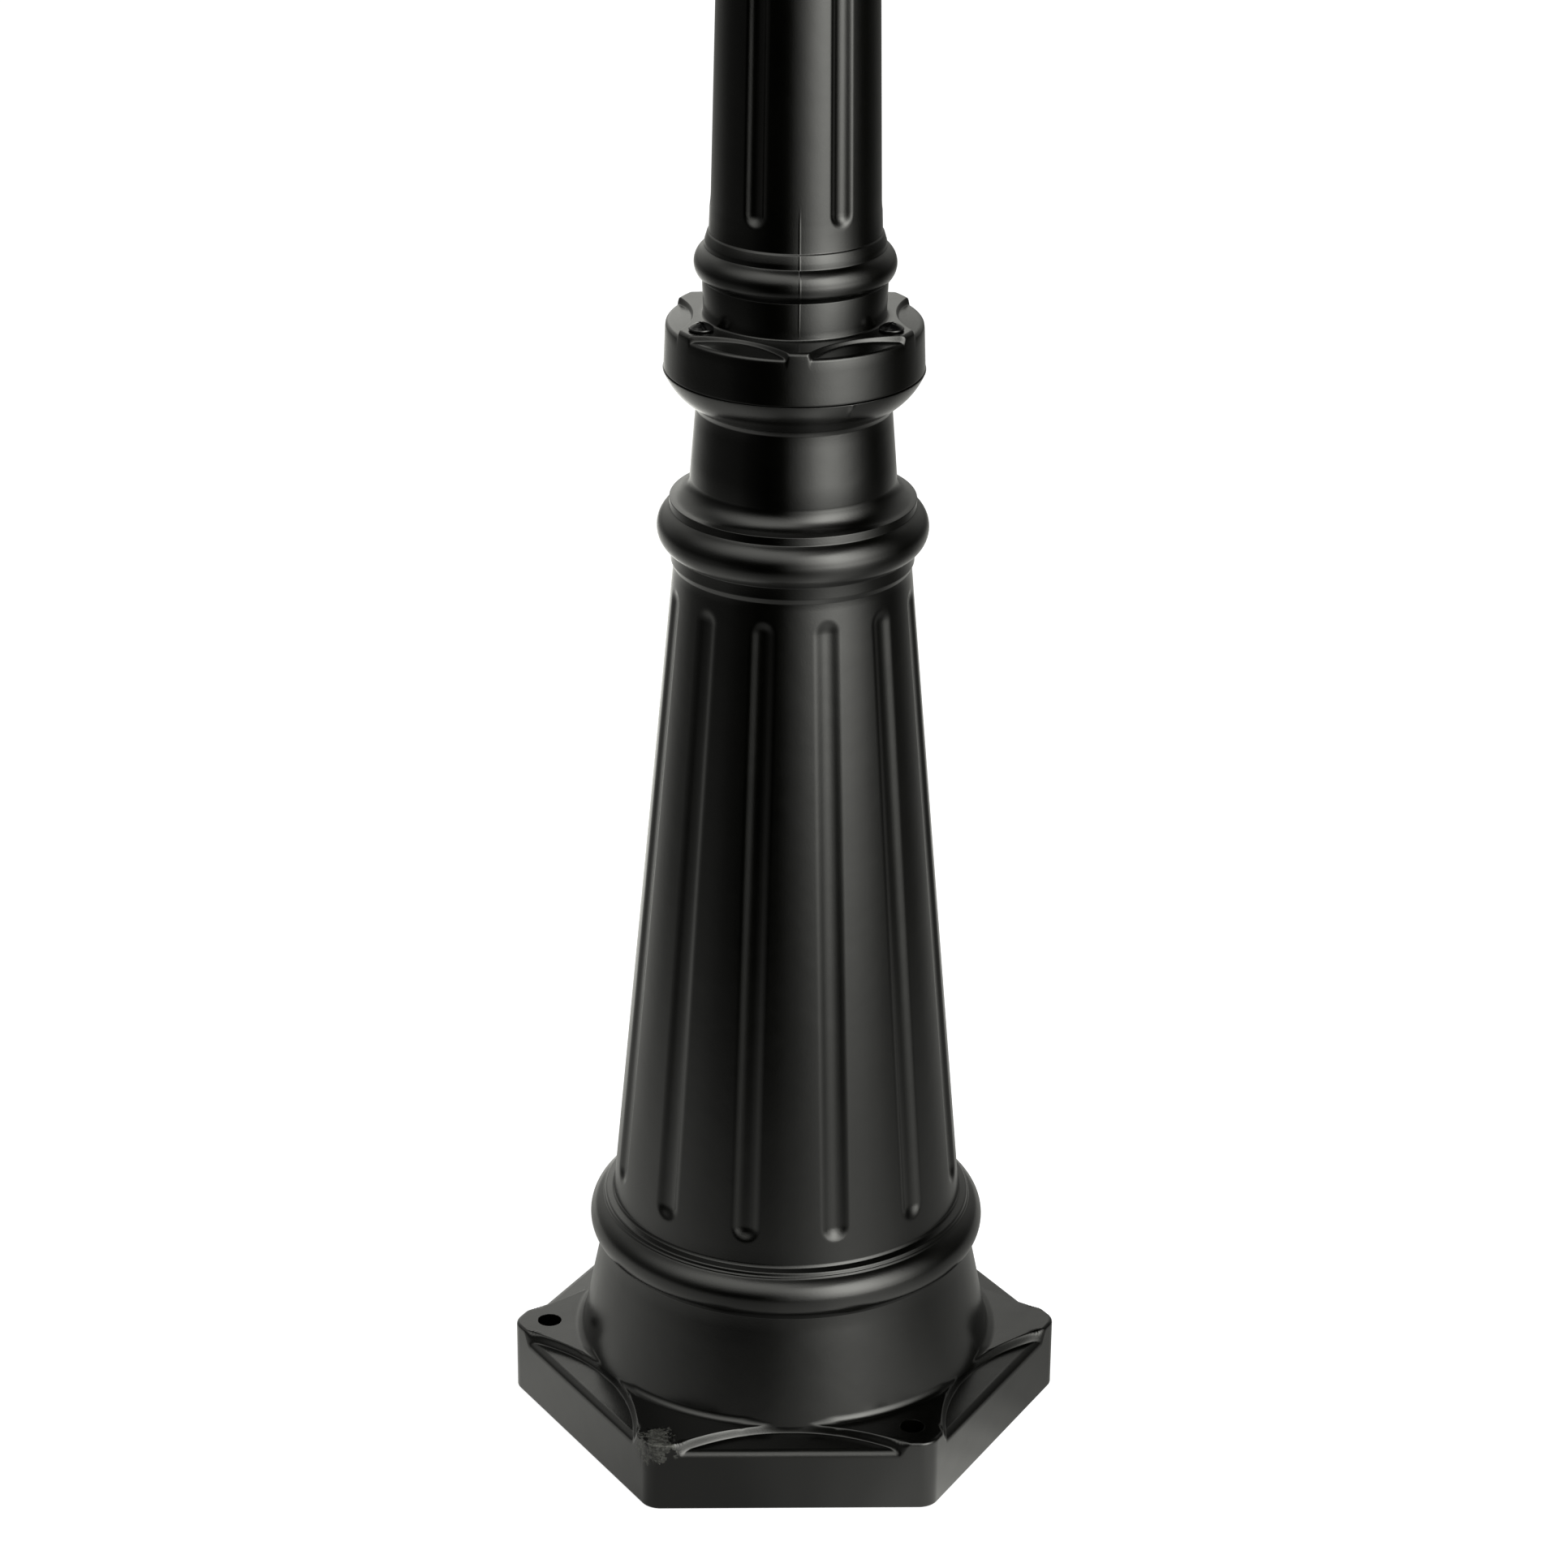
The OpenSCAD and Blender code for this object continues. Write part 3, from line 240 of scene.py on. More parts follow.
def solar_cells():
    """Dark blue cells with silver lines, laid out along each slope of the roof."""
    material, graph, shader = new_material("solar_cell")
    x, y, z = graph.object_place()
    turn = graph.math("ARCTAN2", y, x)
    sector = graph.math("FLOOR", graph.math("DIVIDE", turn, math.pi / 3))
    middle = graph.product(graph.total(sector, 0.5), math.pi / 3)
    across = graph.math("SINE", graph.math("SUBTRACT", turn, middle))
    across = graph.product(graph.flat_distance(x, y), across)

    def lines(value, pitch, width):
        share = graph.math("FRACT", graph.total(graph.math("DIVIDE", value, pitch), 100.0))
        off = graph.math("ABSOLUTE", graph.math("SUBTRACT", share, 0.5))
        return graph.ramp(off, 0.5 - width / pitch, 0.5 - 0.6 * width / pitch)

    fingers = lines(across, FINGER_PITCH, FINGER_WIDTH)
    bars = graph.math("MAXIMUM", lines(z, ROW_PITCH, ROW_WIDTH), lines(across, COLUMN_PITCH, COLUMN_WIDTH))
    shade = graph.ramp(graph.noise(70.0, 3.0), 0.3, 0.7)
    cell = graph.blend(shade, rgb(0.006, 0.011, 0.045), rgb(0.010, 0.018, 0.070))
    cell = graph.blend(graph.product(fingers, 0.35), cell, rgb(0.30, 0.32, 0.36))
    graph.put(graph.blend(bars, cell, rgb(0.42, 0.43, 0.45)), shader.inputs["Base Color"])
    graph.put(graph.math("MULTIPLY_ADD", shade, 0.04, 0.16), shader.inputs["Roughness"])
    shader.inputs["Coat Weight"].default_value = 1.0
    return material


def board_green():
    """Solder mask over the copper lines of the controller board."""
    material, graph, shader = new_material("green_board")
    traces = graph.ramp(graph.noise(260.0, 1.0, 0.2, (1.0, 6.0, 1.0)), 0.49, 0.51)
    mask = graph.blend(traces, rgb(0.010, 0.085, 0.030), rgb(0.016, 0.13, 0.045))
    graph.put(mask, shader.inputs["Base Color"])
    graph.put(graph.math("MULTIPLY_ADD", traces, 0.05, 0.34), shader.inputs["Roughness"])
    graph.put(graph.bump(traces, 0.00003), shader.inputs["Normal"])
    return material


looks["clear_glass"] = see_through("clear_glass", (0.93, 0.955, 0.945), 0.01, 12.0)
looks["frosted_plastic"] = see_through("frosted_plastic", (0.92, 0.92, 0.90), 0.40, 60.0)
looks["solar_cell"] = solar_cells()
looks["green_board"] = board_green()

# Nodes by the start of their names. All others are coated castings.
DRESSED = {
    "black_screw": ("flange_screws", "collar_screws", "capital_screws", "thumb_screws"),
    "bright_steel": ("coupling_tube", "pane_clips", "roof_screws", "tray_screws"),
    "mirror_aluminium": ("reflector",),
    "black_rubber": ("roof_gasket", "finial_washer"),
    "white_plastic": ("light_tray", "led_board", "switch_slider"),
    "black_plastic": ("battery_holder", "switch_housing"),
    "led_yellow": ("led_chips",),
    "frosted_plastic": ("led_lens",),
    "green_board": ("controller_board",),
    "cell_wrap": ("battery_cell",),
    "clear_glass": ("glass_pane",),
    "solar_cell": ("solar_panel",),
}

# The chipped corner of the foot as the coat sees it: metres times CHIP_SCALE, plus CHIP_SHIFT
CHIP_SHIFT, CHIP_SCALE = (6.03, 9.94, -3.0), (98.0, 92.0, 98.0)


def add_bare_patch():
    """The casting's coat is thin and dull where the corner of the foot is chipped."""
    tree = looks["black_coat"].node_tree
    shader = next(node for node in tree.nodes if node.type == "BSDF_PRINCIPLED")
    graph = Graph(tree, clear=False)
    shifted = graph.add("ShaderNodeMapping")
    shifted.inputs["Location"].default_value = CHIP_SHIFT
    shifted.inputs["Scale"].default_value = CHIP_SCALE
    graph.join(graph.add("ShaderNodeTexCoord").outputs["Object"], shifted.inputs["Vector"])
    length = graph.add("ShaderNodeVectorMath", operation="LENGTH")
    graph.join(shifted.outputs[0], length.inputs[0])
    ragged = graph.total(length.outputs["Value"], graph.product(graph.noise(190.0, 6.0, 0.7), 2.4))
    bare = graph.ramp(ragged, 1.94, 2.05, 1.0, 0.0)
    streaks = graph.ramp(graph.noise(800.0, 4.0, 0.7), 0.35, 0.7)
    metal = graph.blend(streaks, rgb(0.010, 0.010, 0.008), rgb(0.095, 0.096, 0.085))
    coat = shader.inputs["Base Color"].links[0].from_socket
    graph.put(graph.blend(bare, coat, metal), shader.inputs["Base Color"])
    gloss = shader.inputs["Roughness"].links[0].from_socket
    mixed = graph.add("ShaderNodeMix", data_type="FLOAT")
    graph.put(bare, mixed.inputs["Factor"])
    graph.put(gloss, mixed.inputs[2])
    mixed.inputs[3].default_value = 0.5
    graph.put(mixed.outputs[0], shader.inputs["Roughness"])


add_bare_patch()
for name, node in nodes.items():
    dress = next((look for look, starts in DRESSED.items() if name.startswith(starts)), "black_coat")
    node.data.materials.clear()
    node.data.materials.append(looks[dress])


# Fine meshes of the two castings that the photograph shows, in millimetres until the mesh is made

def smin(a, b, k):
    """Lesser of two distances with a rounded inner edge."""
    h = np.maximum(k - np.abs(a - b), 0) / k
    return np.minimum(a, b) - h * h * k / 4


def smax(a, b, k):
    return -smin(-a, -b, k)


def smooth_step(x, low, high):
    t = np.clip((x - low) / (high - low), 0, 1)
    return t * t * (3 - 2 * t)


def arc(centre, radius, start, end, step=0.3):
    """Points on a circle between two angles in degrees."""
    count = max(3, int(abs(math.radians(end - start)) * radius / step))
    angles = np.radians(np.linspace(start, end, count))
    return [(centre[0] + radius * math.cos(a), centre[1] + radius * math.sin(a)) for a in angles]


def soft_profile(points, sigma, keep_z=(), turn=5.0, longest=9.0):
    """Rounds the corners of an outline of (radius, height) points and keeps the rows that its curves need."""
    raw = np.array(points, float)
    length = np.concatenate([[0], np.cumsum(np.hypot(*np.diff(raw, axis=0).T))])
    spacing = 0.08
    s = np.arange(0, length[-1], spacing)
    fine = np.stack([np.interp(s, length, raw[:, k]) for k in (0, 1)], 1)
    reach = int(4 * sigma / spacing)
    kernel = np.exp(-0.5 * (np.arange(-reach, reach + 1) * spacing / sigma) ** 2)
    kernel /= kernel.sum()
    before = 2 * fine[0] - fine[1:reach + 1][::-1]
    after = 2 * fine[-1] - fine[-reach - 1:-1][::-1]
    padded = np.concatenate([before, fine, after])
    soft = np.stack([np.convolve(padded[:, k], kernel, "valid") for k in (0, 1)], 1)
    way = np.diff(soft, axis=0)
    heading = np.unwrap(np.arctan2(way[:, 1], way[:, 0]))
    marks = sorted(keep_z)
    rows = [0]
    for i in range(1, len(soft) - 1):
        turned = abs(heading[i] - heading[rows[-1]]) > math.radians(turn)
        far = (i - rows[-1]) * spacing > longest
        marked = bool(marks) and soft[i, 1] >= marks[0]
        if turned or far or marked:
            rows.append(i)
        while marks and soft[i, 1] >= marks[0]:
            marks.pop(0)
    rows.append(len(soft) - 1)
    return soft[rows]


def spread_columns(count, weight):
    """Angles round the post, closer together where the weight is larger."""
    fine = np.linspace(0, 2 * math.pi, 14401)
    total = np.concatenate([[0], np.cumsum(weight(0.5 * (fine[1:] + fine[:-1])))])
    return np.interp(np.arange(count) / count * total[-1], total, fine)


def folded(angle, pitch, start=0.0):
    """Angle to the nearest of the evenly spaced directions that begin at start."""
    return (angle - start + pitch / 2) % pitch - pitch / 2


def surface_between(outside, inner, outer):
    """Where outside() turns positive between two arrays of distances."""
    for _ in range(24):
        middle = 0.5 * (inner + outer)
        out = outside(middle) > 0
        outer = np.where(out, middle, outer)
        inner = np.where(out, inner, middle)
    return 0.5 * (inner + outer)


def fluted(angle, radius, height, count, start, low, high, tube_r, edge):
    """Radius of a cone after its flutes are cut, columns by rows. A flute's axis runs from low to high."""
    turn = folded(angle, 2 * math.pi / count, start)
    run, rise = high[0] - low[0], high[1] - low[1]

    def outside(r):
        x, y = r * np.cos(turn), r * np.sin(turn)
        along = (x - low[0]) * run + (height - low[1]) * rise
        t = np.clip(along / (run * run + rise * rise), 0, 1)
        gap = np.sqrt((x - low[0] - t * run) ** 2 + y * y + (height - low[1] - t * rise) ** 2)
        return smax(r - radius, tube_r - gap, edge)

    return surface_between(outside, radius - 6.0, radius + 0.6)


def edge_drop(distance, radius):
    """How far a rounded edge has fallen at a distance inside the outline."""
    inside = radius - np.clip(distance, 0, radius)
    return radius - np.sqrt(np.maximum(radius * radius - inside * inside, 0))


def crowd(low, high, weight, rows):
    """For each column, rows between two radii that lie closer where the weight is larger."""
    steps = 260
    t = (np.arange(steps) + 0.5) / steps
    r = low[:, None] + (high - low)[:, None] * t[None]
    total = np.cumsum(weight(r), axis=1)
    total = np.concatenate([np.zeros((len(low), 1)), total], 1)
    edges = low[:, None] + (high - low)[:, None] * np.linspace(0, 1, steps + 1)[None]
    wanted = np.linspace(0, 1, rows)
    return np.stack([np.interp(wanted * total[i, -1], total[i], edges[i]) for i in range(len(low))])


def scoop_edge(turn, centre, radius):
    """Distance from the axis to a scoop's edge, at an angle from the scoop's middle, or else far out."""
    reach = centre * np.sin(turn)
    edge = centre * np.cos(turn) - np.sqrt(np.maximum(radius ** 2 - reach ** 2, 0))
    return np.where(np.abs(reach) < radius, edge, 140.0)


def wall_share(u, v, start, top_r, foot_start, foot_r, least):
    """How far a point has come down a scoop's wall, which widens from the scoop's middle to its ends."""
    inside = top_r - np.hypot(u - start - top_r, v)
    beyond = np.hypot(u - foot_start - foot_r, v) - foot_r
    width = smax(inside + beyond, least, 0.6)
    return smooth_step(0.5 + 0.85 * (inside - beyond) / 2 / width, 0.0, 1.0)


def heights(*spans):
    """Heights of rows to keep. A span is its first height, its last and the step."""
    return [z for span in spans for z in np.arange(*span)]


def repeated(section, count):
    """Radii and heights of a section of points, the same for every column."""
    section = np.array(section)
    return [np.repeat(section[None, :, k], count, 0) for k in (0, 1)]


def places(radius, degrees):
    """Points (x, y) on a circle round the axis."""
    return [(radius * math.cos(a), radius * math.sin(a)) for a in np.radians(degrees)]


def ring_mesh(name, radius, height, angle, smooth_rows, material):
    """A closed mesh of rows round the post, every section a closed loop. Arrays are columns by rows."""
    x = radius * np.cos(angle) * 0.001
    y = radius * np.sin(angle) * 0.001
    points = np.stack([x, y, height * 0.001], 2).reshape(-1, 3)
    columns, rows = radius.shape
    i = np.arange(columns)[:, None]
    j = np.arange(rows)[None]
    k, m = (i + 1) % columns, (j + 1) % rows
    quads = np.stack([i * rows + j, k * rows + j, k * rows + m, i * rows + m], 2).reshape(-1, 4)
    mesh = bpy.data.meshes.new(name)
    mesh.vertices.add(len(points))
    mesh.vertices.foreach_set("co", points.astype(np.float32).ravel())
    mesh.loops.add(quads.size)
    mesh.loops.foreach_set("vertex_index", quads.astype(np.int32).ravel())
    mesh.polygons.add(len(quads))
    mesh.polygons.foreach_set("loop_start", np.arange(len(quads), dtype=np.int32) * 4)
    mesh.polygons.foreach_set("loop_total", np.full(len(quads), 4, np.int32))
    mesh.update(calc_edges=True)
    soft = np.broadcast_to(smooth_rows[None], (columns, rows)).ravel()
    mesh.polygons.foreach_set("use_smooth", soft)
    mesh.materials.append(material)
    thing = bpy.data.objects.new(name, mesh)
    scene.collection.objects.link(thing)
    return thing


def drill(thing, tools, operation="DIFFERENCE", sides=48):
    """Cuts upright round holes, given as (x, y, radius, low, high) in millimetres, or adds such pegs."""
    for x, y, r, low, high in tools:
        mesh = bpy.data.meshes.new("drill")
        turn = np.arange(sides) / sides * 2 * math.pi
        ring = np.stack([x + r * np.cos(turn), y + r * np.sin(turn)], 1) * 0.001
        points = [(*p, z * 0.001) for z in (low, high) for p in ring]
        faces = [tuple(range(sides - 1, -1, -1)), tuple(range(sides, 2 * sides))]
        faces += [(k, (k + 1) % sides, sides + (k + 1) % sides, sides + k) for k in range(sides)]
        mesh.from_pydata(points, [], faces)
        cutter = bpy.data.objects.new("drill", mesh)
        scene.collection.objects.link(cutter)
        change = thing.modifiers.new("drill", "BOOLEAN")
        change.operation = operation
        change.solver = "MANIFOLD"
        change.object = cutter
        bpy.context.view_layer.update()
        done = bpy.data.meshes.new_from_object(thing.evaluated_get(bpy.context.evaluated_depsgraph_get()))
        thing.modifiers.clear()
        thing.data = done
        bpy.data.objects.remove(cutter)
        bpy.data.meshes.remove(mesh)


# The base casting. Its foot is a hexagon with rounded corners and a scoop in the top of each side.

FOOT_REACH, FOOT_R, FOOT_TOP = 132.0, 10.0, 35.0
FOOT_SIDE = FOOT_REACH * math.cos(math.pi / 6)
FOOT_CORNER = FOOT_REACH - FOOT_R / math.cos(math.pi / 6)
BELL_R, BELL_TOP_R, BELL_TOP, BELL_RISE = 98.4, 87.9, 86.4, 51.4
BELL_LEAN = math.atan((BELL_R - BELL_TOP_R) / BELL_RISE)
SCOOP_R, SCOOP_DEPTH, SCOOP_FALL = 94.0, 3.5, 0.9
SCOOP_C = BELL_R + SCOOP_R
# The foot's top is rows from its rim in to TOP_INNER, then rays from RAY_CENTRE up to the bell at BELL_START
TOP_INNER, RAY_CENTRE, BELL_START = 103.0, (90.0, 22.0), 44.0
RING1, RING1_R = (82.1, 96.7), 11.8
RING2, RING2_R = (50.2, 447.2), 11.3
COVE, COVE_R = (56.1, 470.6), 9.6
SEAT, SEAT_R, SEAT_TOP = (28.46, 533.97), 32.6, 521.8
FLUTE_LOW, FLUTE_HIGH, FLUTE_R = (90.03, 130.15), (64.90, 415.25), 11.0
UNDERSIDE = 23.8
ANCHOR_CIRCLE, ANCHOR_TURNS = 114.5, (60, 180, 300)
ANCHOR_BOSS, ANCHOR_HOLE = (10.2, 0.0, 26.0), (5.7, -5.0, 45.0)

# Accidents of this one casting: centre and reach of the chipped corner, place of the drip of paint
CHIP, CHIP_REACH = (-61.5, -108.0, 31.0), (10.5, 10.5, 10.0)
DRIP_TURN, DRIP_Z = math.radians(294.0), 520.2
SEAM = math.radians(271)


def rough_patch(radius, height, angle):
    """The chipped corner of the foot and the drip of paint under the seat's edge."""
    x, y = radius * np.cos(angle), radius * np.sin(angle)
    far = np.sqrt(sum(((p - c) / reach) ** 2 for p, c, reach in zip((x, y, height), CHIP, CHIP_REACH)))
    wave = np.sin(x * 0.9 + 1.3 * np.sin(y * 0.7)) * np.sin(y * 1.1 + height * 0.8)
    fine = np.sin(x * 2.3 + y * 1.7) * np.sin(height * 2.1 - y * 2.9)
    far = far + 0.16 * wave + 0.08 * fine
    bite = smooth_step(-far, -1.0, -0.72)
    depth = bite * (0.55 + 0.35 * wave + 0.2 * fine)
    upper = smooth_step(height, 27.0, 33.0)
    height = height - depth * upper
    radius = radius - depth * (1 - upper)
    aside = folded(angle, 2 * math.pi, DRIP_TURN) * radius
    drop = np.exp(-(aside ** 2 + ((height - DRIP_Z) / 1.1) ** 2))
    return radius + 0.8 * drop * (height > 500) * (radius > 48), height


def foot_outline(turn):
    """Distance from the axis to the foot's outline, at an angle from the middle of a side."""
    turn = np.abs(turn)
    corner = math.pi / 6 - turn
    off_axis = FOOT_CORNER * np.sin(corner)
    round_part = FOOT_CORNER * np.cos(corner) + np.sqrt(np.maximum(FOOT_R ** 2 - off_axis ** 2, 0))
    straight_end = math.atan(FOOT_CORNER * 0.5 / FOOT_SIDE)
    return np.where(turn < straight_end, FOOT_SIDE / np.cos(turn), round_part)


def foot_top(turn, r):
    """Height of the foot's top at an angle from the middle of a side, and the depth inside its scoop."""
    u, v = r * np.cos(turn), np.abs(r * np.sin(turn))
    gap_corner = FOOT_R - np.hypot(u - FOOT_CORNER * math.cos(math.pi / 6), v - FOOT_CORNER * 0.5)
    inside = np.where(v < FOOT_CORNER * 0.5, FOOT_SIDE - u, gap_corner)
    pad = FOOT_TOP - edge_drop(inside, 1.6)
    fall = SCOOP_FALL * np.clip((u - BELL_R) / 12.0, 0, 1)
    floor = FOOT_TOP - SCOOP_DEPTH - fall - edge_drop(FOOT_SIDE - u, 3.8)
    share = wall_share(u, v, start=BELL_R, top_r=105.0, foot_start=97.8, foot_r=87.5, least=1.5)
    return pad + (floor - pad) * share, SCOOP_R - np.hypot(u - SCOOP_C, v)


def bell_radius(z):
    return BELL_R - np.maximum(z - FOOT_TOP, -0.6) * math.tan(BELL_LEAN)


def foot_rows(angle):
    """Rows of the foot from its lower edge, over its top, to the bell: arrays of columns by rows."""
    turn = folded(angle, math.pi / 3, math.pi / 6)
    rim = foot_outline(turn)
    edge = scoop_edge(turn, SCOOP_C, SCOOP_R)

    def weight(r):
        near_wall = 6.0 * np.exp(-((r - edge[:, None] - 0.2) / 2.0) ** 2)
        near_rim = 7.0 * np.exp(-(rim[:, None] - r) / 1.1)
        return 1 + near_wall + near_rim

    r = crowd(np.full_like(rim, TOP_INNER), rim, weight, 72)[:, ::-1]
    z, _ = foot_top(turn[:, None], r)
    # Upright side, with a small rounding at the ground
    top = z[:, :1]
    side = np.array([0.0, 0.25, 0.6, 1.2, 4.0, 8.0, 13.0, 18.0, 22.0])
    upper_side = side[-1] + (top - side[-1]) * np.array([[0.35, 0.65, 0.85, 0.95]])
    side_z = np.concatenate([side[None] + 0 * top, upper_side], 1)
    side_r = rim[:, None] - edge_drop(side_z, 0.6)
    # Fan of rays from inside the bell's foot, from the last row of the top up to the bell
    centre_r, centre_z = RAY_CENTRE
    first = np.arctan2(z[:, -1] - centre_z, r[:, -1] - centre_r)
    last = math.atan2(BELL_START - centre_z, bell_radius(BELL_START) - centre_r)
    t = np.linspace(0, 1, 44)[1:]
    ray = first[:, None] + (last - first[:, None]) * t[None]

    def outside(length):
        rr, zz = centre_r + length * np.cos(ray), centre_z + length * np.sin(ray)
        plate, out = foot_top(turn[:, None], rr)
        join = 1.2 + 2.6 * smooth_step(-out, 0.0, 5.0)
        return smin(zz - plate, (rr - bell_radius(zz)) * math.cos(BELL_LEAN), join)

    length = surface_between(outside, np.full_like(ray, 4.0), np.full_like(ray, 40.0))
    fan_r, fan_z = centre_r + length * np.cos(ray), centre_z + length * np.sin(ray)
    return np.concatenate([side_r, r, fan_r], 1), np.concatenate([side_z, z, fan_z], 1)


def add_base():
    def weight(angle):
        flute = np.abs(np.degrees(folded(angle, math.pi / 6, math.pi / 12)))
        corner = np.abs(np.degrees(folded(angle, math.pi / 3)))
        return 1 + 2.6 * np.exp(-((flute - 4.0) / 1.3) ** 2) + 1.6 * np.exp(-((corner - 2.8) / 2.6) ** 2)

    angle = spread_columns(900, weight)
    count = len(angle)
    foot_r, foot_z = foot_rows(angle)
    # Bell, first ring, steps, shaft, second ring, neck and seat
    path = [(bell_radius(BELL_START), BELL_START), (BELL_TOP_R, BELL_TOP), *arc(RING1, RING1_R, -60.6, 62.0),
            (87.6, 107.9), (87.0, 108.1), (86.7, 109.5), (86.2, 109.9), (83.3, 110.3), (82.6, 111.6),
            (54.0, 429.0), (55.2, 431.4), (55.2, 437.1), *arc(RING2, RING2_R, -63.6, 60.3),
            (55.8, 460.9), *arc(COVE, COVE_R, 268.0, 180.0), (46.6, 471.0), (44.0, 503.6),
            *arc(SEAT, SEAT_R, -59.1, -21.9), (58.7, SEAT_TOP), (55.5, SEAT_TOP)]
    outer = soft_profile(path, 0.28, heights((119, 134, 0.7), (408, 426, 0.7), (140, 408, 8.0)))[1:]
    r, z = repeated(outer, count)
    cut = (outer[:, 1] > 115) & (outer[:, 1] < 428.5) & (outer[:, 0] < 83)
    r[:, cut] = fluted(angle[:, None], r[:, cut], z[:, cut], 12, math.pi / 12, FLUTE_LOW, FLUTE_HIGH,
                       FLUTE_R, 1.0)
    # Bore of the seat, hollow and underside
    inside_r, inside_z = repeated([
        (36.0, SEAT_TOP), (35.55, 521.3), (35.55, 509.3), (39.0, 509.3), (39.0, 503.6), (41.6, 470.6),
        (48.0, 425.0), (75.5, 122.5), (82.9, BELL_TOP), (93.4, FOOT_TOP), (93.4, UNDERSIDE)], count)
    turn = folded(angle, math.pi / 3, math.pi / 6)
    inner_rim = (FOOT_SIDE - 7) / np.cos(turn)
    under_r = np.stack([inner_rim - 0.5, inner_rim, inner_rim, foot_outline(turn) - 1.2], 1)
    under_z = np.repeat(np.array([[UNDERSIDE, 23.3, 0.0, 0.0]]), count, 0)
    radius = np.concatenate([foot_r, r, inside_r, under_r], 1)
    height = np.concatenate([foot_z, z, inside_z, under_z], 1)
    soft = np.arange(radius.shape[1]) < foot_r.shape[1] + r.shape[1] - 1
    radius, height = rough_patch(radius, height, angle[:, None])
    base = ring_mesh("base", radius, height, angle[:, None], soft, looks["black_coat"])
    anchors = places(ANCHOR_CIRCLE, ANCHOR_TURNS)
    drill(base, [(x, y, *ANCHOR_BOSS) for x, y in anchors], "UNION")
    drill(base, [(x, y, *ANCHOR_HOLE) for x, y in anchors])
    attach(base, "post")
    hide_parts("base_casting")


# The lower pole. Its flange has six scoops in its top, and stands in the seat.

PAD_Z, PAD_R = 546.2, 57.4
POLE_SCOOP_START, POLE_SCOOP_R = 45.4, 53.0
POLE_SCOOP_C = POLE_SCOOP_START + POLE_SCOOP_R
POLE_RING, POLE_RING_R = (36.3, 570.3), 8.6
POLE_FLUTE_LOW, POLE_FLUTE_HIGH, POLE_FLUTE_R = (41.77, 600.7), (32.25, 1138.2), 6.4
POLE_TOP, BORE_START = 1180.0, 596.6
SCREW_CIRCLE, SCREW_TURNS = 48.1, (90, 210, 330)
SCREW_BOSS, SCREW_HOLE = (7.5, 522.0, 540.0), (3.3, 515.0, 552.0)


def flange_top(turn, r):
    """Height of the pole flange's top at an angle from the middle of a scoop."""
    share = wall_share(r * np.cos(turn), r * np.sin(turn),
                       start=45.2, top_r=53.5, foot_start=45.6, foot_r=47.0, least=1.1)
    rim = edge_drop(PAD_R - r, 2.0)
    pad = PAD_Z - rim
    floor = PAD_Z - 1.6 - 1.2 * np.clip((r - POLE_SCOOP_START) / 10.4, 0, 1) - rim
    return pad + (floor - pad) * share


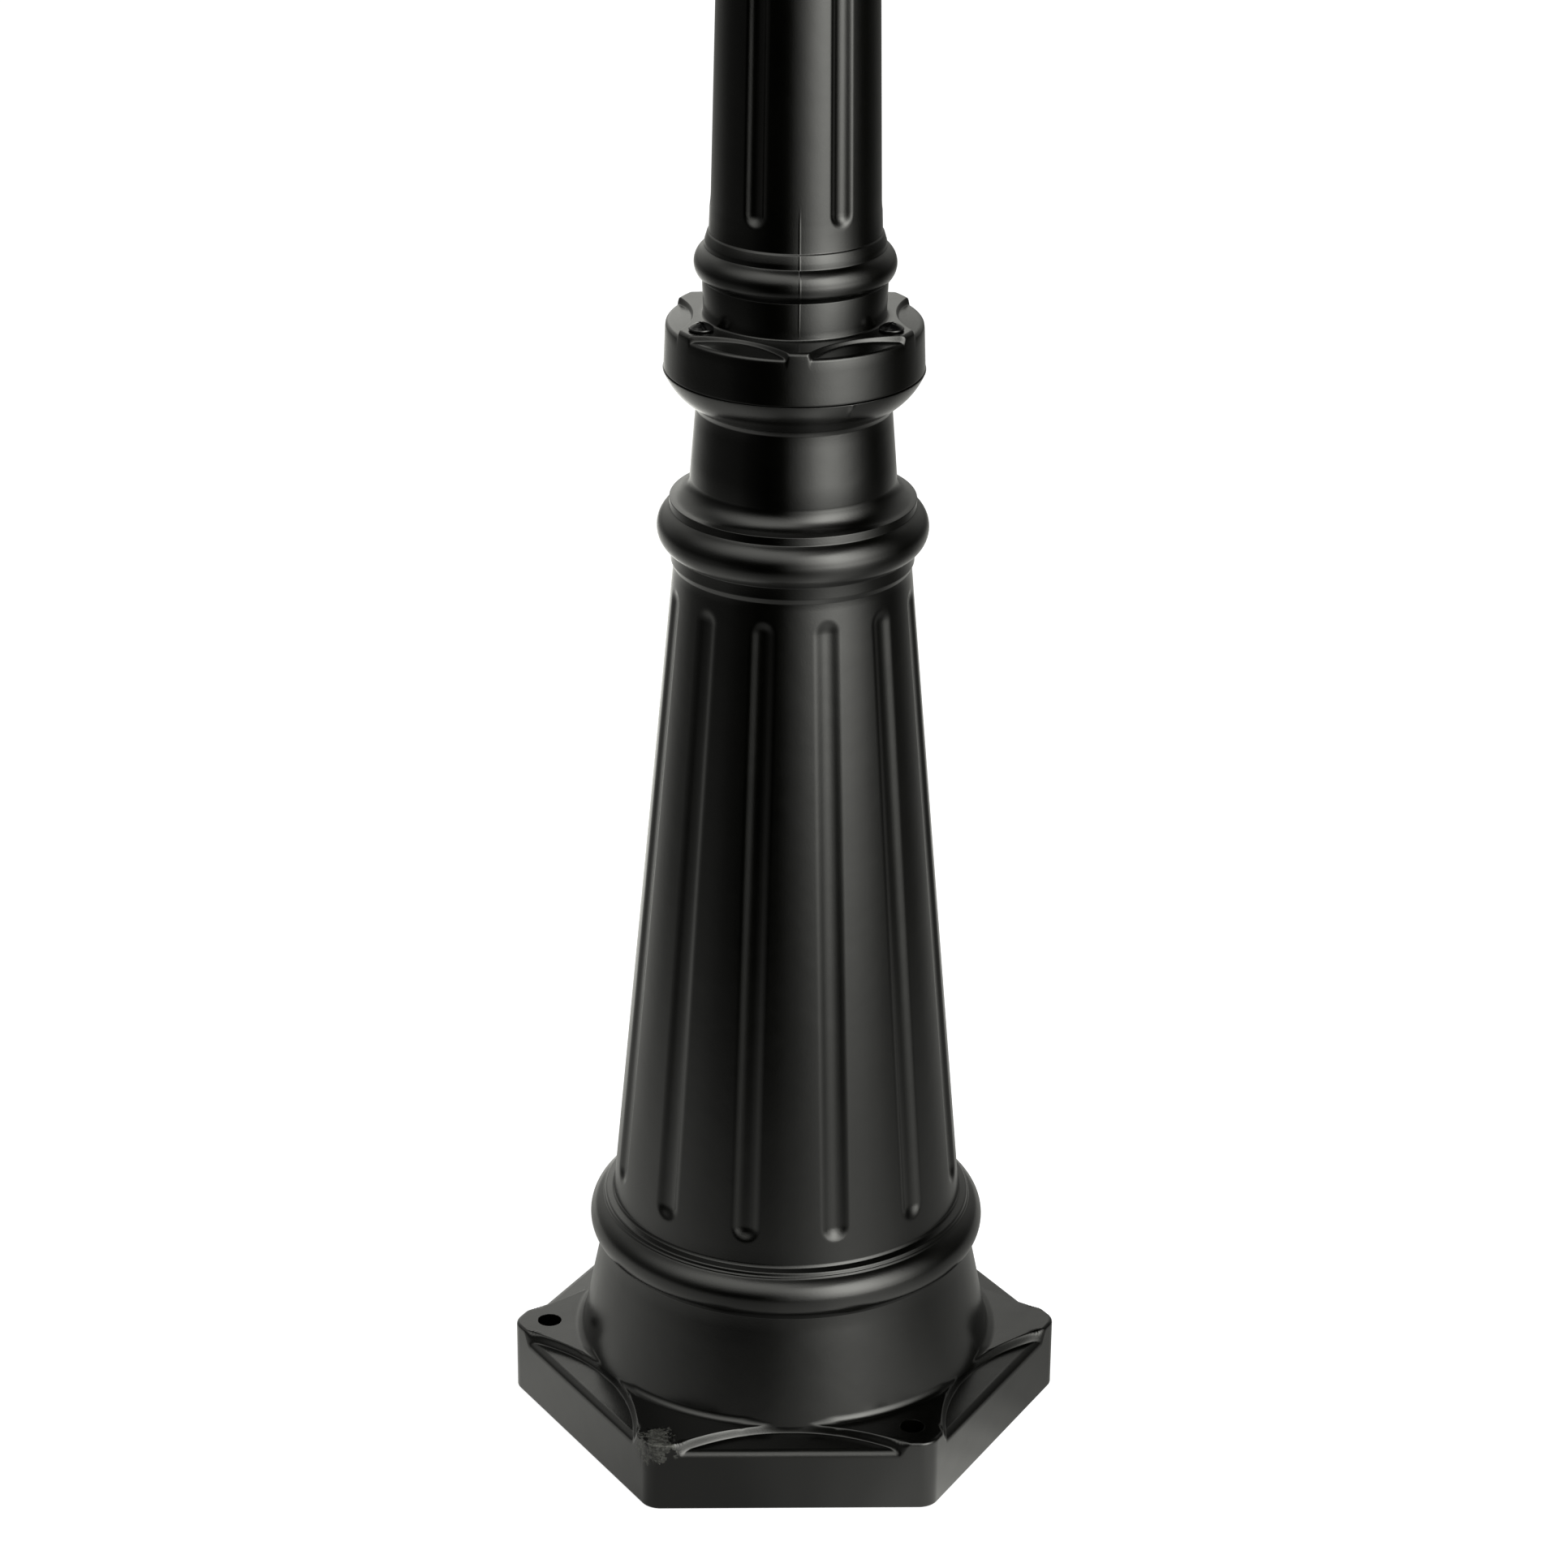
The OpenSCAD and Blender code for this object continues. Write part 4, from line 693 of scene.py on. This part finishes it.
def add_lower_pole():
    def weight(angle):
        turn = np.abs(np.degrees(folded(angle, math.pi / 3)))
        seam = np.degrees(folded(angle, 2 * math.pi, SEAM))
        return (1 + 2.2 * np.exp(-((turn - 7.3) / 1.6) ** 2) + 1.8 * np.exp(-((turn - 26.5) / 2.0) ** 2)
                + 9 * np.exp(-(seam / 0.9) ** 2))

    angle = spread_columns(840, weight)
    count = len(angle)
    turn = folded(angle, math.pi / 3)
    edge = scoop_edge(turn, POLE_SCOOP_C, POLE_SCOOP_R)

    def row_weight(r):
        return 1 + 5.0 * np.exp(-((r - edge[:, None] - 0.1) / 1.2) ** 2) + 4.0 * np.exp(-(PAD_R - r) / 0.8)

    # Under the flange, its side, and its top from the rim to the collar's foot
    under_r, under_z = repeated([
        (32.6, 512.8), (35.4, 512.8), (35.4, SEAT_TOP), (39.4, SEAT_TOP), (39.4, 537.2), (53.7, 537.2),
        (53.7, SEAT_TOP), (57.5, SEAT_TOP), (57.9, 521.9), (58.15, 522.15), (58.25, 522.5)], count)
    top_r = crowd(np.full(count, 43.6), np.full(count, PAD_R), row_weight, 60)[:, ::-1]
    top_z = flange_top(turn[:, None], top_r)
    side_z = 523.0 + (top_z[:, :1] - 523.0) * np.array([[0.0, 0.2, 0.4, 0.6, 0.8, 0.93]])
    side_r = 58.27 - (side_z - 522.4) / 21.8 * 0.87
    # Collar, ring, band and fluted pole
    path = [(43.5, PAD_Z), (41.5, PAD_Z), (40.8, 546.8), (40.7, 550.0), (41.3, 563.2),
            *arc(POLE_RING, POLE_RING_R, -56.9, 63.0), (40.2, 578.6), (40.2, 580.2), (39.0, 584.2),
            (38.3, 584.7), (37.9, BORE_START), (26.35, POLE_TOP)]
    marks = heights((592, 612, 0.7), (1120, 1144, 1.0), (620, 1120, 10.0))
    outer = soft_profile(path, 0.3, marks, longest=14.0)
    r, z = repeated(outer, count)
    cut = (outer[:, 1] > 589) & (outer[:, 1] < 1145)
    r[:, cut] = fluted(angle[:, None], r[:, cut], z[:, cut], 6, 0.0, POLE_FLUTE_LOW, POLE_FLUTE_HIGH,
                       POLE_FLUTE_R, 1.3)
    bore_r, bore_z = repeated([(26.2, POLE_TOP), (21.7, POLE_TOP), (21.6, 1106.0), (33.9, BORE_START)], count)
    radius = np.concatenate([under_r, side_r, top_r, r, bore_r], 1)
    height = np.concatenate([under_z, side_z, top_z, z, bore_z], 1)
    # Parting line of the mould on the collar, its ring and the band above
    seam = folded(angle, 2 * math.pi, SEAM)[:, None] * radius
    strength = smooth_step(height, 549.5, 552.0) * (1 - smooth_step(height, 592.0, 606.0))
    outside = np.zeros_like(radius)
    outside[:, under_r.shape[1]:radius.shape[1] - bore_r.shape[1]] = 1
    radius = radius + 0.2 * np.exp(-(seam / 0.32) ** 2) * strength * outside
    # The spigot under the flange and the bore keep flat faces
    soft = np.ones(radius.shape[1], bool)
    soft[:7] = soft[-5:] = False
    pole = ring_mesh("pole_low", radius, height, angle[:, None], soft, looks["black_coat"])
    screws = places(SCREW_CIRCLE, SCREW_TURNS)
    drill(pole, [(x, y, *SCREW_BOSS) for x, y in screws], "UNION")
    drill(pole, [(x, y, *SCREW_HOLE) for x, y in screws])
    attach(pole, "post")
    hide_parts("lower_pole")


add_base()
add_lower_pole()


# Floor, world and lights. Mirror rays see a studio of their own: a softbox at the right, a white wall behind,
# and a table that is bright near the post. Each is a list of (azimuth from the front to the right, strength).

TINT, WHITE = rgb(1.0, 1.0, 0.94), rgb(1.0, 1.0, 1.0)
SOFTBOX = [(-10, 0), (2, 0.12), (13, 0.34), (24, 0.72), (35, 1), (46, 0.92), (58, 0.6), (70, 0.26),
           (82, 0.06), (94, 0)]
BACK = [(-180, 1), (-171, 1.2), (-156, 0.6), (-144, 0.5), (-132, 0.4), (-120, 0.25), (-106, 0.14),
        (-88, 0.13), (-66, 0.12), (-48, 0.04), (-32, 0), (74, 0), (92, 0.07), (108, 0.05), (120, 0.1),
        (132, 0.19), (144, 0.27), (158, 0.33), (171, 0.5), (180, 1)]
TABLE = [(-180, 0.2), (-136, 0.25), (-120, 0.45), (-104, 0.62), (-90, 0.74), (-76, 0.7), (-60, 0.62),
         (-44, 0.55), (-28, 0.42), (-14, 0.42), (0, 0.5), (24, 0.5), (46, 0.2), (70, 0.32), (96, 0.34),
         (120, 0.3), (180, 0.2)]
CEILING = [(-180, 0), (-150, 0.12), (-126, 0.14), (-108, 0.26), (-86, 0.6), (-64, 0.95), (-40, 1), (-6, 1),
           (16, 0.6), (44, 0.22), (72, 0.06), (96, 0), (180, 0)]
FLOOR_REACH, FLOOR_DROP = 30.0, 0.0002
LIGHT_WIDTH, LIGHT_TALL, LIGHT_HEIGHT = 0.9, 1.6, 1.0


def azimuth(graph, x, y):
    """Azimuth from the front, as a share of a full turn from 0 to 1."""
    turn = graph.math("ARCTAN2", x, graph.product(y, -1.0))
    return graph.total(graph.math("DIVIDE", turn, 2 * math.pi), 0.5)


def curve(graph, value, stops):
    """A smooth curve through stops of azimuth in degrees and strength."""
    node = graph.add("ShaderNodeValToRGB")
    ramp = node.color_ramp
    ramp.interpolation = "EASE"
    while len(ramp.elements) > 1:
        ramp.elements.remove(ramp.elements[-1])
    for index, (degrees, strength) in enumerate(stops):
        place = degrees / 360 + 0.5
        stop = ramp.elements[0] if index == 0 else ramp.elements.new(place)
        stop.position = place
        stop.color = rgb(strength, strength, strength)
    graph.put(value, node.inputs[0])
    return node.outputs[0]


def glow(graph, kind, colour, strength):
    node = graph.add(kind)
    node.inputs["Color"].default_value = colour
    graph.put(strength, node.inputs["Strength"])
    return node.outputs[0]


def seen_by_camera(graph, paths):
    """Camera rays, also through glass."""
    return graph.math("MAXIMUM", paths.outputs["Is Camera Ray"], paths.outputs["Is Transmission Ray"])


def split_rays(graph, paths, plain, mirrored, output):
    """One shader for mirror rays, another for all other rays."""
    pick = graph.add("ShaderNodeMixShader")
    for source, socket in zip((paths.outputs["Is Glossy Ray"], plain, mirrored), pick.inputs):
        graph.join(source, socket)
    graph.join(pick.outputs[0], graph.add(output).inputs[0])


def add_floor():
    mesh = bpy.data.meshes.new("floor")
    corners = [(-FLOOR_REACH, -FLOOR_REACH, 0), (FLOOR_REACH, -FLOOR_REACH, 0),
               (FLOOR_REACH, FLOOR_REACH, 0), (-FLOOR_REACH, FLOOR_REACH, 0)]
    mesh.from_pydata(corners, [], [(0, 1, 2, 3)])
    floor = bpy.data.objects.new("floor", mesh)
    floor.location.z = -FLOOR_DROP
    scene.collection.objects.link(floor)
    material = bpy.data.materials.new("floor_white")
    material.use_nodes = True
    graph = Graph(material.node_tree)
    paths = graph.add("ShaderNodeLightPath")
    x, y, _ = graph.object_place()
    distance = graph.flat_distance(x, y)
    turn = azimuth(graph, x, y)
    power = graph.total(graph.ramp(distance, 0.5, 1.2, 1.0, 1.8), graph.ramp(distance, 1.25, 2.2, 0.0, 2.2),
                        graph.ramp(distance, 2.6, 3.2, 0.0, 1.6))
    shine = graph.product(curve(graph, turn, SOFTBOX), power)
    near = graph.product(curve(graph, turn, TABLE), graph.ramp(distance, 0.15, 0.95, 1.0, 0.0))
    spill = graph.math("SUBTRACT", graph.ramp(distance, 0.2, 0.7, 0.45, 1.7),
                       graph.ramp(distance, 0.9, 2.5, 0.0, 1.2))
    far = graph.product(curve(graph, turn, BACK), spill)
    # White to the camera and through glass, and the floor keeps its soft shadow
    seen = graph.product(seen_by_camera(graph, paths), 0.80)
    paint = graph.add("ShaderNodeBsdfDiffuse")
    paint.inputs["Color"].default_value = rgb(0.80, 0.80, 0.80)
    both = graph.add("ShaderNodeAddShader")
    graph.join(glow(graph, "ShaderNodeEmission", WHITE, seen), both.inputs[0])
    graph.join(paint.outputs[0], both.inputs[1])
    mirrored = glow(graph, "ShaderNodeEmission", TINT, graph.total(shine, near, far))
    split_rays(graph, paths, both.outputs[0], mirrored, "ShaderNodeOutputMaterial")
    mesh.materials.append(material)


def add_world():
    world = bpy.data.worlds.new("studio")
    scene.world = world
    world.use_nodes = True
    graph = Graph(world.node_tree)
    paths = graph.add("ShaderNodeLightPath")
    way = graph.add("ShaderNodeSeparateXYZ")
    graph.join(graph.add("ShaderNodeTexCoord").outputs["Generated"], way.inputs[0])
    turn = azimuth(graph, way.outputs["X"], way.outputs["Y"])
    rise = way.outputs["Z"]
    box = graph.product(graph.ramp(rise, 0.0, 0.35, 4.5, 8.0), graph.ramp(rise, 0.64, 0.85, 1.0, 0.0))
    shine = graph.product(curve(graph, turn, SOFTBOX), box)
    tall = graph.product(graph.ramp(rise, 0.0, 0.3, 0.85, 1.3), graph.ramp(rise, 0.5, 0.8, 1.0, 0.0))
    wall = graph.product(curve(graph, turn, BACK), tall)
    high = graph.product(graph.ramp(rise, 0.15, 0.86, 0.0, 2.4), graph.ramp(rise, 0.9, 0.99, 1.0, 0.15))
    ceiling = graph.product(curve(graph, turn, CEILING), high)
    seen = graph.math("MULTIPLY_ADD", seen_by_camera(graph, paths), 0.65, 0.35)
    plain = glow(graph, "ShaderNodeBackground", WHITE, seen)
    mirrored = glow(graph, "ShaderNodeBackground", TINT, graph.total(shine, wall, ceiling))
    split_rays(graph, paths, plain, mirrored, "ShaderNodeOutputWorld")


def add_softbox(name, turn, distance, power, aim):
    """An area light at an azimuth from the front, counted to the right, that mirror rays don't see."""
    data = bpy.data.lights.new(name, "AREA")
    data.shape = "RECTANGLE"
    data.size = LIGHT_WIDTH
    data.size_y = LIGHT_TALL
    data.energy = power
    light = bpy.data.objects.new(name, data)
    angle = math.radians(turn)
    light.location = (distance * math.sin(angle), -distance * math.cos(angle), LIGHT_HEIGHT)
    light.rotation_euler = (Vector((0, 0, aim)) - light.location).to_track_quat("-Z", "Y").to_euler()
    light.visible_glossy = False
    scene.collection.objects.link(light)


add_floor()
add_world()
add_softbox("softbox_right", turn=42, distance=1.6, power=18, aim=0.7)
add_softbox("softbox_left", turn=-110, distance=1.8, power=8, aim=0.6)
